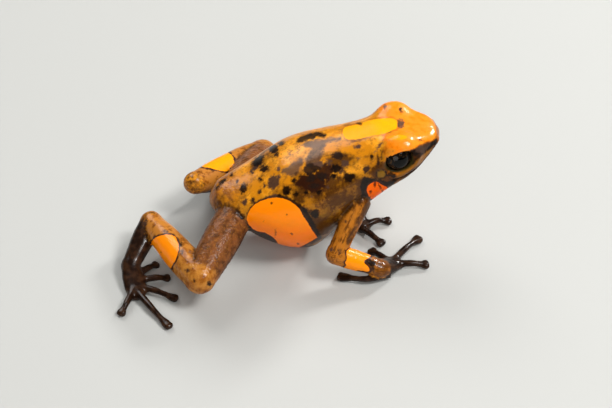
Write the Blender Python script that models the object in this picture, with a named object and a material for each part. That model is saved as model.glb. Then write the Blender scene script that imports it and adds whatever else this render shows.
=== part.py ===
"""A harlequin poison frog at life size, sitting alert on all four limbs.

The frog faces +X, its left side is +Y and it rests on z = 0. Sizes are in millimetres
and are turned to metres as each mesh is made. The body is one loft of smooth sections,
parted at the neck. Each limb runs between named joints with the muscle profile of its
kind, and neighbouring pieces keep a gap of SKIN_GAP.
"""
import math

import bmesh
import bpy
from mathutils import Vector

# Units and gaps
MM = 0.001
SKIN_GAP = 0.3
FLOOR_SINK = 0.12

# Roundness of the meshes
TRUNK_SIDES = 28
TRUNK_STEPS = 3
LIMB_SIDES = 12
TOE_SIDES = 8
EYE_SIDES = 16

# Trunk and head sections from vent to nose: place along the body and height of the
# widest level, tilt in degrees, half width, rise above, drop below, squareness
TRUNK_SECTIONS = [
    (-12.9, 7.8, 15.0, 1.0, 0.8, 0.9, 2.0),
    (-12.25, 7.9, 18.0, 2.0, 1.55, 1.7, 2.0),
    (-10.8, 7.9, 24.0, 3.4, 2.75, 3.1, 2.0),
    (-7.6, 7.6, 28.0, 5.3, 4.2, 6.9, 2.1),
    (-4.2, 8.2, 30.0, 6.8, 5.1, 8.8, 2.1),
    (-1.0, 9.9, 27.0, 7.3, 5.35, 8.35, 2.1),
    (2.0, 11.3, 22.0, 6.95, 5.05, 6.9, 2.1),
    (5.0, 12.5, 15.0, 6.1, 4.6, 6.1, 2.1),
    (7.4, 13.2, 9.0, 5.5, 4.6, 5.6, 2.15),
    (9.3, 13.6, 4.0, 5.4, 4.85, 4.35, 2.2),
    (11.2, 13.6, 0.0, 5.3, 4.95, 2.35, 2.3),
    (13.2, 14.25, 0.0, 4.65, 4.25, 1.75, 2.3),
    (15.1, 15.25, 0.0, 3.5, 3.15, 1.25, 2.35),
    (16.3, 15.95, 0.0, 2.55, 2.2, 0.95, 2.3),
    (17.0, 16.35, 0.0, 1.65, 1.4, 0.65, 2.2),
    (17.32, 16.55, 0.0, 0.8, 0.75, 0.35, 2.0),
]
VENT_TIP = (-13.15, 0.0, 7.75)
NOSE_TIP = (17.42, 0.0, 16.65)
NECK_PLACE = (8.1, 0.0, 14.0)
NECK_NORMAL = (1.0, 0.0, 0.08)
VENT_PIT_RADIUS = 0.32

# Head
EYE_PLACE = (11.3, 3.45, 16.15)
LID_PLACE = (12.0, 3.3, 16.65)
EYE_RADIUS = 1.95
LID_RADII = (2.7, 2.4, 2.58)
EYE_LOOK = (0.12, 0.98, 0.05)
EYE_OPENING_LONG = 56.0
EYE_OPENING_HIGH = 41.0
EYE_OPENING_TILT = 20.0
OPENING_REACH = 1.7
OPENING_START = 0.06
OPENING_TIP = 1.4
MOUTH_START = 10.4
MOUTH_END = 17.05
MOUTH_MIDDLE = 11.0
MOUTH_STATIONS = 11
MOUTH_RADIUS = 0.2
LIP_RADIUS = 0.34
LIP_RISE = 0.42
LIP_SINK = 0.24
NOSTRIL_STATION = 16.2
NOSTRIL_ANGLE = 24.0
NOSTRIL_RADIUS = 0.22
EARDRUM_STATION = 9.35
EARDRUM_ANGLE = 10.0
EARDRUM_RADIUS = 0.62
EARDRUM_GROOVE = 0.12

# Joints, with +Y the frog's left side
HIPS = {"right": (-9.4, -1.6, 7.6), "left": (-9.4, 1.6, 7.6)}
KNEES = {"right": (-15.5, -11.3, 4.5), "left": (-4.5, 14.1, 4.0)}
HEELS = {"right": (-21.0, 1.2, 4.1), "left": (-14.6, 6.6, 5.9)}
ANKLES = {"right": (-24.3, -4.2, 1.5), "left": (-11.5, 11.4, 1.5)}
FOOT_ENDS = {"right": (-23.8, -8.6, 0.55), "left": (-9.7, 15.0, 0.55)}
SHOULDERS = {"right": (6.2, -4.75, 9.7), "left": (6.2, 4.75, 9.7)}
ELBOWS = {"right": (2.7, -8.6, 4.25), "left": (2.6, 7.6, 4.6)}
WRISTS = {"right": (8.5, -9.2, 1.8), "left": (6.0, 3.3, 1.8)}
PALM_ENDS = {"right": (10.9, -7.3, 0.62), "left": (7.7, 1.0, 0.62)}

# Muscle profiles: share of the way from joint to joint, half width, half height
THIGH_PROFILE = [(0.0, 2.3, 2.3), (0.4, 2.5, 2.55), (0.75, 2.3, 2.3), (1.0, 1.95, 1.95)]
SHANK_PROFILE = [(0.0, 1.95, 1.95), (0.3, 2.15, 2.15), (0.7, 1.9, 1.9), (1.0, 1.45, 1.45)]
TARSUS_PROFILE = [(0.0, 1.45, 1.45), (0.3, 1.6, 1.4), (0.7, 1.4, 1.2), (1.0, 1.2, 1.0)]
FOOT_PROFILE = [(0.0, 1.15, 1.0), (0.4, 1.45, 0.8), (0.8, 1.45, 0.7), (1.0, 1.3, 0.62)]
UPPER_ARM_PROFILE = [(0.0, 1.65, 1.65), (0.35, 1.5, 1.5), (0.7, 1.3, 1.3), (1.0, 1.25, 1.25)]
FOREARM_PROFILE = [(0.0, 1.25, 1.25), (0.3, 1.42, 1.4), (0.75, 1.3, 1.2), (1.0, 1.25, 1.0)]
PALM_PROFILE = [(0.0, 1.45, 1.05), (0.5, 1.5, 0.85), (1.0, 1.2, 0.7)]

# Toes and fingers: root, bend and tip on the floor
TOES = {
    "right": [((-22.9, -4.9), (-21.9, -4.2), (-20.8, -3.2)),
              ((-22.6, -6.4), (-21.0, -6.3), (-19.4, -6.1)),
              ((-22.8, -8.0), (-21.2, -8.9), (-18.7, -10.3)),
              ((-23.4, -9.2), (-22.0, -12.2), (-20.0, -15.5)),
              ((-24.5, -9.0), (-25.2, -10.7), (-26.1, -12.3))],
    "left": [((-9.9, 11.9), (-8.8, 12.2), (-7.7, 12.6)),
             ((-9.2, 13.3), (-8.0, 14.0), (-6.6, 14.7)),
             ((-8.9, 14.6), (-7.5, 15.9), (-5.7, 17.1)),
             ((-9.5, 15.6), (-8.6, 17.5), (-7.2, 19.4)),
             ((-10.6, 14.9), (-10.6, 16.0), (-10.1, 17.4))],
}
FINGERS = {
    "right": [((10.0, -6.9), (9.1, -5.6), (8.2, -4.1)),
              ((11.2, -6.4), (12.9, -4.6), (15.0, -2.4)),
              ((11.6, -7.6), (13.2, -7.8), (15.2, -7.8)),
              ((8.9, -9.7), (6.6, -10.1), (3.2, -8.65))],
    "left": [((7.6, 0.2), (8.7, -1.4), (9.9, -2.9)),
             ((8.4, 0.9), (9.8, 1.5), (11.6, 1.8)),
             ((7.7, 2.0), (8.2, 4.0), (8.5, 6.4)),
             ((6.3, 2.1), (5.0, 3.4), (3.4, 4.6))],
}
TOE_HEIGHT = 0.72
TOE_ROOT_INSIDE = 1.0
KNUCKLE_HEIGHT = 0.82
TOE_DISC_WIDTH = 0.66
FINGER_DISC_WIDTH = 0.8
DISC_HEIGHT = 0.42
DISC_END = 0.3
SCUTE_RADII = (0.3, 0.33, 0.18)
SCUTE_ASIDE = 0.42
SCUTE_BACK = 0.1
SCUTE_UP = 0.72

# Toe profile: share of the way to the tip, half width, half height, share of the disc
TOE_PROFILE = [(0.0, 0.52, 0.5, 0.0), (0.3, 0.47, 0.46, 0.0), (0.6, 0.42, 0.4, 0.0),
               (0.78, 0.41, 0.38, 0.1), (0.88, 0.41, 0.38, 0.8), (0.95, 0.41, 0.38, 1.0),
               (1.0, 0.41, 0.38, 0.72)]

# Colours from the animal: red, green, blue, roughness
SKIN_COLOUR = (0.62, 0.27, 0.05, 0.3)
LIMB_COLOUR = (0.5, 0.21, 0.05, 0.3)
DARK_COLOUR = (0.05, 0.028, 0.02, 0.3)
EYE_COLOUR = (0.01, 0.008, 0.006, 0.05)


def clear_scene():
    for item in list(bpy.data.objects):
        bpy.data.objects.remove(item, do_unlink=True)


def finish_of(name, values):
    material = bpy.data.materials.new(name)
    material.use_nodes = True
    shader = material.node_tree.nodes["Principled BSDF"]
    red, green, blue, rough = values
    shader.inputs["Base Color"].default_value = (red, green, blue, 1.0)
    shader.inputs["Roughness"].default_value = rough
    shader.inputs["Metallic"].default_value = 0.0
    return material


def curve_through(rows, steps):
    """Rows on a smooth curve through the given rows, with the ends kept."""
    rows = [[float(value) for value in row] for row in rows]
    before = [2 * a - b for a, b in zip(rows[0], rows[1])]
    after = [2 * a - b for a, b in zip(rows[-1], rows[-2])]
    line = [before] + rows + [after]
    result = []
    for index in range(1, len(line) - 2):
        for step in range(steps):
            t = step / steps
            point = []
            for a, b, c, d in zip(*line[index - 1:index + 3]):
                point.append(0.5 * (2 * b + (c - a) * t + (2 * a - 5 * b + 4 * c - d) * t * t
                                    + (3 * b - a - 3 * c + d) * t ** 3))
            result.append(point)
    result.append(rows[-1])
    return result


def signed_power(value, power):
    return math.copysign(abs(value) ** power, value)


def section_point(row, angle, grow=0.0):
    """A point on a body section: angle 0 is the left side and 90 degrees the back."""
    x, z, tilt, half_width, rise, drop, square = row
    power = 2.0 / square
    across = (half_width + grow) * signed_power(math.cos(angle), power)
    reach = (rise if math.sin(angle) > 0 else drop) + grow
    height = reach * signed_power(math.sin(angle), power)
    lean = math.radians(tilt)
    return Vector((x - height * math.sin(lean), across, z + height * math.cos(lean)))


def body_row(station):
    """The body section at a place along the body."""
    rows = curve_through(TRUNK_SECTIONS, TRUNK_STEPS * 4)
    for first, second in zip(rows, rows[1:]):
        if first[0] <= station <= second[0]:
            share = (station - first[0]) / (second[0] - first[0])
            return [a + (b - a) * share for a, b in zip(first, second)]
    return rows[-1]


def mesh_object(name, rings, first_tip, last_tip, material):
    """A closed skin over rings of points, with a point at each end."""
    mesh = bmesh.new()
    sides = len(rings[0])
    loops = [[mesh.verts.new(Vector(point) * MM) for point in ring] for ring in rings]
    for ring, following in zip(loops, loops[1:]):
        for side in range(sides):
            following_side = (side + 1) % sides
            mesh.faces.new((ring[side], ring[following_side],
                            following[following_side], following[side]))
    for ring, tip in ((loops[0], first_tip), (loops[-1], last_tip)):
        end = mesh.verts.new(Vector(tip) * MM)
        for side in range(sides):
            mesh.faces.new((end, ring[side], ring[(side + 1) % sides]))
    bmesh.ops.recalc_face_normals(mesh, faces=mesh.faces)
    bmesh.ops.triangulate(mesh, faces=mesh.faces)
    return object_from(name, mesh, material)


def object_from(name, mesh, material):
    data = bpy.data.meshes.new(name)
    mesh.to_mesh(data)
    mesh.free()
    data.shade_smooth()
    item = bpy.data.objects.new(name, data)
    bpy.context.scene.collection.objects.link(item)
    if material is not None:
        data.materials.append(material)
    return item


def body_object(name, grow, material):
    """The whole trunk and head, made bigger all round by grow."""
    rings = []
    for row in curve_through(TRUNK_SECTIONS, TRUNK_STEPS):
        rings.append([section_point(row, math.tau * side / TRUNK_SIDES, grow)
                      for side in range(TRUNK_SIDES)])
    first_tip = Vector(VENT_TIP) - Vector((grow, 0, 0))
    last_tip = Vector(NOSE_TIP) + Vector((grow, 0, 0))
    return mesh_object(name, rings, first_tip, last_tip, material)


def limb_object(name, start, end, profile, sides, material, grow=0.0):
    """A limb from joint to joint with round ends, its width from a muscle profile."""
    start = Vector(start)
    end = Vector(end)
    along = (end - start).normalized()
    side_way = along.cross(Vector((0, 0, 1))).normalized()
    up_way = side_way.cross(along)
    rows = curve_through(profile, 2)
    places = []
    for turn in (75.0, 50.0, 25.0):
        share = math.cos(math.radians(turn))
        places.append((start - along * (rows[0][1] + grow) * math.sin(math.radians(turn)),
                       rows[0][1] * share, rows[0][2] * share, share))
    for share, wide, high in rows:
        places.append((start.lerp(end, share), wide, high, 1.0))
    for turn in (25.0, 50.0, 75.0):
        share = math.cos(math.radians(turn))
        places.append((end + along * (rows[-1][1] + grow) * math.sin(math.radians(turn)),
                       rows[-1][1] * share, rows[-1][2] * share, share))
    rings = []
    for place, wide, high, share in places:
        ring = []
        for side in range(sides):
            angle = math.tau * side / sides
            ring.append(place + side_way * (wide + grow * share) * math.cos(angle)
                        + up_way * (high + grow * share) * math.sin(angle))
        rings.append(ring)
    return mesh_object(name, rings, start - along * (rows[0][1] + grow),
                       end + along * (rows[-1][1] + grow), material)


def ball_object(name, centre, radii, axes=None, sides=16, material=None):
    """An ellipsoid with its poles on the third axis."""
    if axes is None:
        axes = (Vector((1, 0, 0)), Vector((0, 1, 0)), Vector((0, 0, 1)))
    centre = Vector(centre)
    layers = sides // 2
    rings = []
    for layer in range(1, layers):
        slope = math.pi * layer / layers
        ring = []
        for side in range(sides):
            angle = math.tau * side / sides
            ring.append(centre + axes[0] * radii[0] * math.sin(slope) * math.cos(angle)
                        + axes[1] * radii[1] * math.sin(slope) * math.sin(angle)
                        + axes[2] * radii[2] * math.cos(slope))
        rings.append(ring)
    return mesh_object(name, rings, centre + axes[2] * radii[2],
                       centre - axes[2] * radii[2], material)


def tube_object(name, points, radius, sides=6):
    """A tube of one radius along points."""
    rings = []
    for index, point in enumerate(points):
        before = points[max(index - 1, 0)]
        after = points[min(index + 1, len(points) - 1)]
        along = (after - before).normalized()
        side_way = along.cross(Vector((0.03, 0.02, 1))).normalized()
        up_way = side_way.cross(along)
        rings.append([point + radius * (side_way * math.cos(math.tau * side / sides)
                                        + up_way * math.sin(math.tau * side / sides))
                      for side in range(sides)])
    return mesh_object(name, rings, points[0], points[-1], None)


def ring_object(name, centre, axis, big, small, turns=14, sides=6):
    """A torus round an axis."""
    axis = axis.normalized()
    first = axis.orthogonal().normalized()
    second = axis.cross(first)
    mesh = bmesh.new()
    loops = []
    for turn in range(turns):
        angle = math.tau * turn / turns
        outward = first * math.cos(angle) + second * math.sin(angle)
        loops.append([mesh.verts.new((centre + outward * (big + small * math.cos(math.tau * side / sides))
                                      + axis * small * math.sin(math.tau * side / sides)) * MM)
                      for side in range(sides)])
    for turn in range(turns):
        ring = loops[turn]
        following = loops[(turn + 1) % turns]
        for side in range(sides):
            after = (side + 1) % sides
            mesh.faces.new((ring[side], ring[after], following[after], following[side]))
    bmesh.ops.recalc_face_normals(mesh, faces=mesh.faces)
    bmesh.ops.triangulate(mesh, faces=mesh.faces)
    return object_from(name, mesh, None)


def carve(item, other, operation):
    """Joins, cuts or keeps what is common with another closed mesh, which is then removed."""
    modifier = item.modifiers.new("carve", "BOOLEAN")
    modifier.operation = operation
    modifier.solver = "EXACT"
    modifier.object = other
    bpy.context.view_layer.update()
    evaluated = item.evaluated_get(bpy.context.evaluated_depsgraph_get())
    result = bpy.data.meshes.new_from_object(evaluated)
    old = item.data
    item.modifiers.remove(modifier)
    item.data = result
    bpy.data.meshes.remove(old)
    bpy.data.objects.remove(other, do_unlink=True)
    keep_largest(item)


def keep_largest(item):
    """Keeps the largest closed surface of a mesh."""
    mesh = bmesh.new()
    mesh.from_mesh(item.data)
    bmesh.ops.remove_doubles(mesh, verts=mesh.verts, dist=1e-7)
    bmesh.ops.dissolve_degenerate(mesh, edges=mesh.edges, dist=1e-7)
    left = set(mesh.verts)
    groups = []
    while left:
        seed = left.pop()
        group = {seed}
        edge_of = [seed]
        while edge_of:
            vert = edge_of.pop()
            for edge in vert.link_edges:
                other = edge.other_vert(vert)
                if other in left:
                    left.remove(other)
                    group.add(other)
                    edge_of.append(other)
        groups.append(group)
    groups.sort(key=len)
    scraps = [vert for group in groups[:-1] for vert in group]
    bmesh.ops.delete(mesh, geom=scraps, context="VERTS")
    bmesh.ops.triangulate(mesh, faces=mesh.faces)
    mesh.to_mesh(item.data)
    mesh.free()


def cut_flat(item, place, normal):
    """Cuts a mesh with a plane, keeps the side that the normal points away from, and closes it."""
    mesh = bmesh.new()
    mesh.from_mesh(item.data)
    parts = list(mesh.verts) + list(mesh.edges) + list(mesh.faces)
    cut = bmesh.ops.bisect_plane(mesh, geom=parts, dist=1e-8, plane_co=Vector(place) * MM,
                                 plane_no=Vector(normal).normalized(), clear_outer=True)
    rim = [part for part in cut["geom_cut"] if isinstance(part, bmesh.types.BMEdge)]
    if rim:
        bmesh.ops.edgeloop_fill(mesh, edges=rim)
    bmesh.ops.recalc_face_normals(mesh, faces=mesh.faces)
    bmesh.ops.triangulate(mesh, faces=mesh.faces)
    mesh.to_mesh(item.data)
    mesh.free()


def joint_normal(before, joint, after):
    """The way half between the direction into a joint and the direction out of it."""
    incoming = (Vector(joint) - Vector(before)).normalized()
    outgoing = (Vector(after) - Vector(joint)).normalized()
    return (incoming + outgoing).normalized()


def part_at_joint(first, second, before, joint, after):
    """Parts two limbs at their joint by the plane half way between their directions."""
    normal = joint_normal(before, joint, after)
    cut_flat(first, Vector(joint) - normal * SKIN_GAP / 2, normal)
    cut_flat(second, Vector(joint) + normal * SKIN_GAP / 2, -normal)


def make_head(head):
    """Adds lids, sockets, lips, the line of the mouth, nostrils and eardrums."""
    for hand in (1, -1):
        centre = Vector((EYE_PLACE[0], hand * EYE_PLACE[1], EYE_PLACE[2]))
        dome = Vector((LID_PLACE[0], hand * LID_PLACE[1], LID_PLACE[2]))
        look = Vector((EYE_LOOK[0], hand * EYE_LOOK[1], EYE_LOOK[2])).normalized()
        tilt = math.radians(EYE_OPENING_TILT)
        forward = Vector((math.cos(tilt), 0.0, math.sin(tilt)))
        level = (forward - look * forward.dot(look)).normalized()
        high = level.cross(look)
        lid = ball_object("lid", dome, LID_RADII, sides=EYE_SIDES)
        carve(head, lid, "UNION")
        opening = EYE_RADIUS * OPENING_REACH
        long_reach = opening * math.tan(math.radians(EYE_OPENING_LONG))
        high_reach = opening * math.tan(math.radians(EYE_OPENING_HIGH))
        rings = []
        for share in (OPENING_START, 1.0):
            rings.append([centre + look * opening * share
                          + level * long_reach * share * math.cos(math.tau * side / EYE_SIDES)
                          + high * high_reach * share * math.sin(math.tau * side / EYE_SIDES)
                          for side in range(EYE_SIDES)])
        cone = mesh_object("opening", rings, centre, centre + look * opening * OPENING_TIP, None)
        carve(head, cone, "DIFFERENCE")
        socket = ball_object("socket", centre, (EYE_RADIUS + SKIN_GAP,) * 3,
                             (level, high, look), sides=EYE_SIDES)
        carve(head, socket, "DIFFERENCE")

    half_line = []
    for step in range(MOUTH_STATIONS):
        turn = 0.5 * math.pi * step / (MOUTH_STATIONS - 1)
        station = MOUTH_START + (MOUTH_END - MOUTH_START) * math.sin(turn)
        half_line.append(section_point(body_row(station), 0.0))
    front = Vector((NOSE_TIP[0] - 0.02, 0.0, half_line[-1].z + 0.05))
    mirrored = [Vector((point.x, -point.y, point.z)) for point in reversed(half_line)]
    mouth_line = half_line + [front] + mirrored
    lip_line = []
    for point in mouth_line:
        inward = Vector((point.x - MOUTH_MIDDLE, point.y, 0.0)).normalized() * LIP_SINK
        lip_line.append(point - inward + Vector((0, 0, LIP_RISE)))
    carve(head, tube_object("lip", lip_line[1:-1], LIP_RADIUS), "UNION")
    carve(head, tube_object("mouth", mouth_line, MOUTH_RADIUS), "DIFFERENCE")

    for hand in (1, -1):
        angle = math.radians(NOSTRIL_ANGLE if hand > 0 else 180.0 - NOSTRIL_ANGLE)
        nostril = section_point(body_row(NOSTRIL_STATION), angle)
        carve(head, ball_object("nostril", nostril, (NOSTRIL_RADIUS,) * 3, sides=6), "DIFFERENCE")
        angle = math.radians(EARDRUM_ANGLE if hand > 0 else 180.0 - EARDRUM_ANGLE)
        ear = section_point(body_row(EARDRUM_STATION), angle)
        groove = ring_object("eardrum", ear, Vector((0.0, hand, 0.2)), EARDRUM_RADIUS, EARDRUM_GROOVE)
        carve(head, groove, "DIFFERENCE")


def make_toe(name, points, disc_width, material):
    """A toe from inside the foot to its disc, flat below, with two scutes on the disc."""
    root, bend, tip = points
    inward = (Vector(root) - Vector(bend)).normalized() * TOE_ROOT_INSIDE
    rows = [(root[0] + inward.x, root[1] + inward.y, TOE_HEIGHT),
            (bend[0], bend[1], KNUCKLE_HEIGHT),
            (tip[0], tip[1], DISC_HEIGHT - FLOOR_SINK)]
    path = [Vector(row) for row in curve_through(rows, 10)]
    last = len(path) - 1
    rings = []
    for share, half_width, half_height, disc_share in TOE_PROFILE:
        index = round(share * last)
        along = (path[min(index + 1, last)] - path[max(index - 1, 0)]).normalized()
        side_way = along.cross(Vector((0, 0, 1))).normalized()
        up_way = side_way.cross(along)
        wide = half_width + (disc_width - half_width) * disc_share
        high = half_height + (DISC_HEIGHT - half_height) * disc_share
        rings.append([path[index] + side_way * wide * math.cos(math.tau * side / TOE_SIDES)
                      + up_way * high * math.sin(math.tau * side / TOE_SIDES)
                      for side in range(TOE_SIDES)])
    ahead = path[-1] - path[-3]
    ahead.z = 0.0
    ahead.normalize()
    toe = mesh_object(name, rings, path[0], path[-1] + ahead * DISC_END, material)
    side_way = ahead.cross(Vector((0, 0, 1)))
    axes = (side_way, ahead, Vector((0, 0, 1)))
    for hand in (1, -1):
        place = path[-1] + side_way * hand * disc_width * SCUTE_ASIDE - ahead * SCUTE_BACK
        place = place + Vector((0, 0, DISC_HEIGHT * SCUTE_UP))
        carve(toe, ball_object("scute", place, SCUTE_RADII, axes, sides=6), "UNION")
    return toe


def make_limbs(body_clear, side, skins):
    """One side's leg and arm, parted at their joints, with toes and fingers."""
    hip, knee, heel = HIPS[side], KNEES[side], HEELS[side]
    ankle, foot_end = ANKLES[side], FOOT_ENDS[side]
    thigh = limb_object("thigh_" + side, hip, knee, THIGH_PROFILE, LIMB_SIDES, skins["limb"])
    shank = limb_object("shank_" + side, knee, heel, SHANK_PROFILE, LIMB_SIDES, skins["limb"])
    tarsus = limb_object("tarsus_" + side, heel, ankle, TARSUS_PROFILE, LIMB_SIDES, skins["dark"])
    foot = limb_object("foot_" + side, ankle, foot_end, FOOT_PROFILE, LIMB_SIDES, skins["dark"])
    part_at_joint(thigh, shank, hip, knee, heel)
    part_at_joint(shank, tarsus, knee, heel, ankle)
    part_at_joint(tarsus, foot, heel, ankle, foot_end)

    shoulder, elbow = SHOULDERS[side], ELBOWS[side]
    wrist, palm_end = WRISTS[side], PALM_ENDS[side]
    upper_arm = limb_object("upper_arm_" + side, shoulder, elbow, UPPER_ARM_PROFILE, LIMB_SIDES,
                            skins["limb"])
    forearm = limb_object("forearm_" + side, elbow, wrist, FOREARM_PROFILE, LIMB_SIDES, skins["limb"])
    palm = limb_object("palm_" + side, wrist, palm_end, PALM_PROFILE, LIMB_SIDES, skins["dark"])
    part_at_joint(upper_arm, forearm, shoulder, elbow, wrist)
    part_at_joint(forearm, palm, elbow, wrist, palm_end)

    for limb in (thigh, upper_arm, shank, forearm):
        clear = body_clear.copy()
        clear.data = body_clear.data.copy()
        bpy.context.scene.collection.objects.link(clear)
        carve(limb, clear, "DIFFERENCE")

    leg_lines = (heel, ankle, foot_end, TARSUS_PROFILE, FOOT_PROFILE)
    arm_lines = (elbow, wrist, palm_end, FOREARM_PROFILE, PALM_PROFILE)
    rows = ((foot, "toe_", TOES[side], TOE_DISC_WIDTH, leg_lines),
            (palm, "finger_", FINGERS[side], FINGER_DISC_WIDTH, arm_lines))
    for base, word, toe_lines, disc_width, (before, joint, after, long_profile, base_profile) in rows:
        for number, points in enumerate(toe_lines, start=1):
            toe = make_toe(word + str(number) + "_" + side, points, disc_width, skins["dark"])
            clear = limb_object("clear", before, joint, long_profile, LIMB_SIDES, None, SKIN_GAP)
            cut_flat(clear, joint, joint_normal(before, joint, after))
            carve(toe, clear, "DIFFERENCE")
            clear = limb_object("clear", joint, after, base_profile, LIMB_SIDES, None, SKIN_GAP)
            carve(toe, clear, "DIFFERENCE")
            cut_flat(toe, (0, 0, 0), (0, 0, -1))
        cut_flat(base, (0, 0, 0), (0, 0, -1))


def move_to_middle():
    """Puts the origin at the middle of the bottom of the whole frog."""
    solids = [item for item in bpy.data.objects if item.type == "MESH" and not item.hide_render]
    points = [vert.co for item in solids for vert in item.data.vertices]
    low = [min(point[axis] for point in points) for axis in range(3)]
    high = [max(point[axis] for point in points) for axis in range(3)]
    shift = Vector((-(low[0] + high[0]) / 2, -(low[1] + high[1]) / 2, -low[2]))
    for item in solids:
        for vert in item.data.vertices:
            vert.co += shift


clear_scene()
SKINS = {"body": finish_of("body_skin", SKIN_COLOUR),
         "limb": finish_of("limb_skin", LIMB_COLOUR),
         "dark": finish_of("dark_skin", DARK_COLOUR),
         "eye": finish_of("eye", EYE_COLOUR)}

torso = body_object("torso", 0.0, SKINS["body"])
head = body_object("head", 0.0, SKINS["body"])
half_gap = Vector(NECK_NORMAL).normalized() * SKIN_GAP / 2
cut_flat(torso, Vector(NECK_PLACE) - half_gap, NECK_NORMAL)
cut_flat(head, Vector(NECK_PLACE) + half_gap, -Vector(NECK_NORMAL))
carve(torso, ball_object("vent", VENT_TIP, (VENT_PIT_RADIUS,) * 3, sides=8), "DIFFERENCE")
make_head(head)
for side_name, hand in (("left", 1), ("right", -1)):
    ball_object("eye_" + side_name, (EYE_PLACE[0], hand * EYE_PLACE[1], EYE_PLACE[2]),
                (EYE_RADIUS,) * 3, sides=EYE_SIDES, material=SKINS["eye"])

body_clear = body_object("body_clear", SKIN_GAP, None)
for side_name in ("left", "right"):
    make_limbs(body_clear, side_name, SKINS)
bpy.data.objects.remove(body_clear, do_unlink=True)
move_to_middle()
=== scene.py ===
import math

import bmesh
import bpy
import numpy as np
import openvdb
from mathutils import Matrix, Vector
from mathutils.bvhtree import BVHTree


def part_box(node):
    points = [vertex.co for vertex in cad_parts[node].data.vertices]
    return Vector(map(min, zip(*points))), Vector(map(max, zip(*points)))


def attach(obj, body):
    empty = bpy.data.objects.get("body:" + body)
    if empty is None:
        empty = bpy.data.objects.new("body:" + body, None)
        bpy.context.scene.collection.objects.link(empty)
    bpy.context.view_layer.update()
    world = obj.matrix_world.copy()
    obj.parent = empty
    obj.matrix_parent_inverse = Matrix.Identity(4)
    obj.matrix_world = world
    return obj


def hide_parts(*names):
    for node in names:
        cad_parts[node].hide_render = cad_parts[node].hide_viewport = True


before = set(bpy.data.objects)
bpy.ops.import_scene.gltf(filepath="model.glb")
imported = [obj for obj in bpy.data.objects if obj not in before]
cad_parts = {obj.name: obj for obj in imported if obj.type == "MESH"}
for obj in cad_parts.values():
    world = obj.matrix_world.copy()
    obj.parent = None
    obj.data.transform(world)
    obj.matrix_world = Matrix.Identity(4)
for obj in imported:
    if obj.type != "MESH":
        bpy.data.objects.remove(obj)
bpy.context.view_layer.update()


# The view
# The camera looks down on the frog's right side from a hand's length and a half away. Here
# and below, measures are in mm in the frog's own frame: nose along +X, left side +Y, floor 0.
MM = 0.001
EYE_PLACE = (11.3, 3.45, 16.15)
PICTURE_SIZE = (612.0, 408.0)
CAMERA_HEIGHT_ANGLE = 40.0
CAMERA_SIDE_ANGLE = -7.3
CAMERA_DISTANCE = 276.0
CAMERA_AIM = (0.0, 1.3, 5.0)
CAMERA_LENS = 120.0
CAMERA_SENSOR = 36.0
CAMERA_NEAR = 0.01

eye_corners = [np.array(corner) / MM for side in ("left", "right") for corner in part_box("eye_" + side)]
OWN_ORIGIN = np.mean(eye_corners, axis=0) - (EYE_PLACE[0], 0.0, EYE_PLACE[2])

height_angle = math.radians(CAMERA_HEIGHT_ANGLE)
side_angle = math.radians(CAMERA_SIDE_ANGLE)
camera_back = np.array([math.sin(side_angle) * math.cos(height_angle),
                        -math.cos(side_angle) * math.cos(height_angle), math.sin(height_angle)])
camera_right = np.array([math.cos(side_angle), math.sin(side_angle), 0.0])
camera_up = np.cross(camera_back, camera_right)
camera_place = np.array(CAMERA_AIM) + camera_back * CAMERA_DISTANCE
FOCAL_PIXELS = PICTURE_SIZE[0] * CAMERA_LENS / CAMERA_SENSOR
PIXELS_PER_MM = FOCAL_PIXELS / CAMERA_DISTANCE


def to_frame(point):
    """A place in the frog's own mm as metres in the frame of the solids."""
    return Vector((np.asarray(point, float) + OWN_ORIGIN) * MM)


def in_picture(points):
    """Where places show in the picture, in pixels across and down."""
    offset = np.asarray(points, float) - camera_place
    depth = -(offset @ camera_back)
    across = PICTURE_SIZE[0] / 2 + FOCAL_PIXELS * (offset @ camera_right) / depth
    down = PICTURE_SIZE[1] / 2 - FOCAL_PIXELS * (offset @ camera_up) / depth
    return np.stack([across, down], -1)


camera_data = bpy.data.cameras.new("camera")
camera_data.lens = CAMERA_LENS
camera_data.sensor_width = CAMERA_SENSOR
camera_data.clip_start = CAMERA_NEAR
camera = bpy.data.objects.new("camera", camera_data)
bpy.context.scene.collection.objects.link(camera)
camera_turn = Matrix((camera_right, camera_up, camera_back)).transposed().to_4x4()
camera.matrix_world = Matrix.Translation(to_frame(camera_place)) @ camera_turn
bpy.context.scene.camera = camera


# Trunk and head
# The flesh of the body is one round form through oval sections, from the vent to the nose.
# It is worked out as distances in a block of small cells, so that limbs join it with fillets.
CELL = 0.22
BAND = 6
BLOCK_MARGIN = 1.7
TRUNK_SIDES = 72
TRUNK_STEPS = 10

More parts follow.
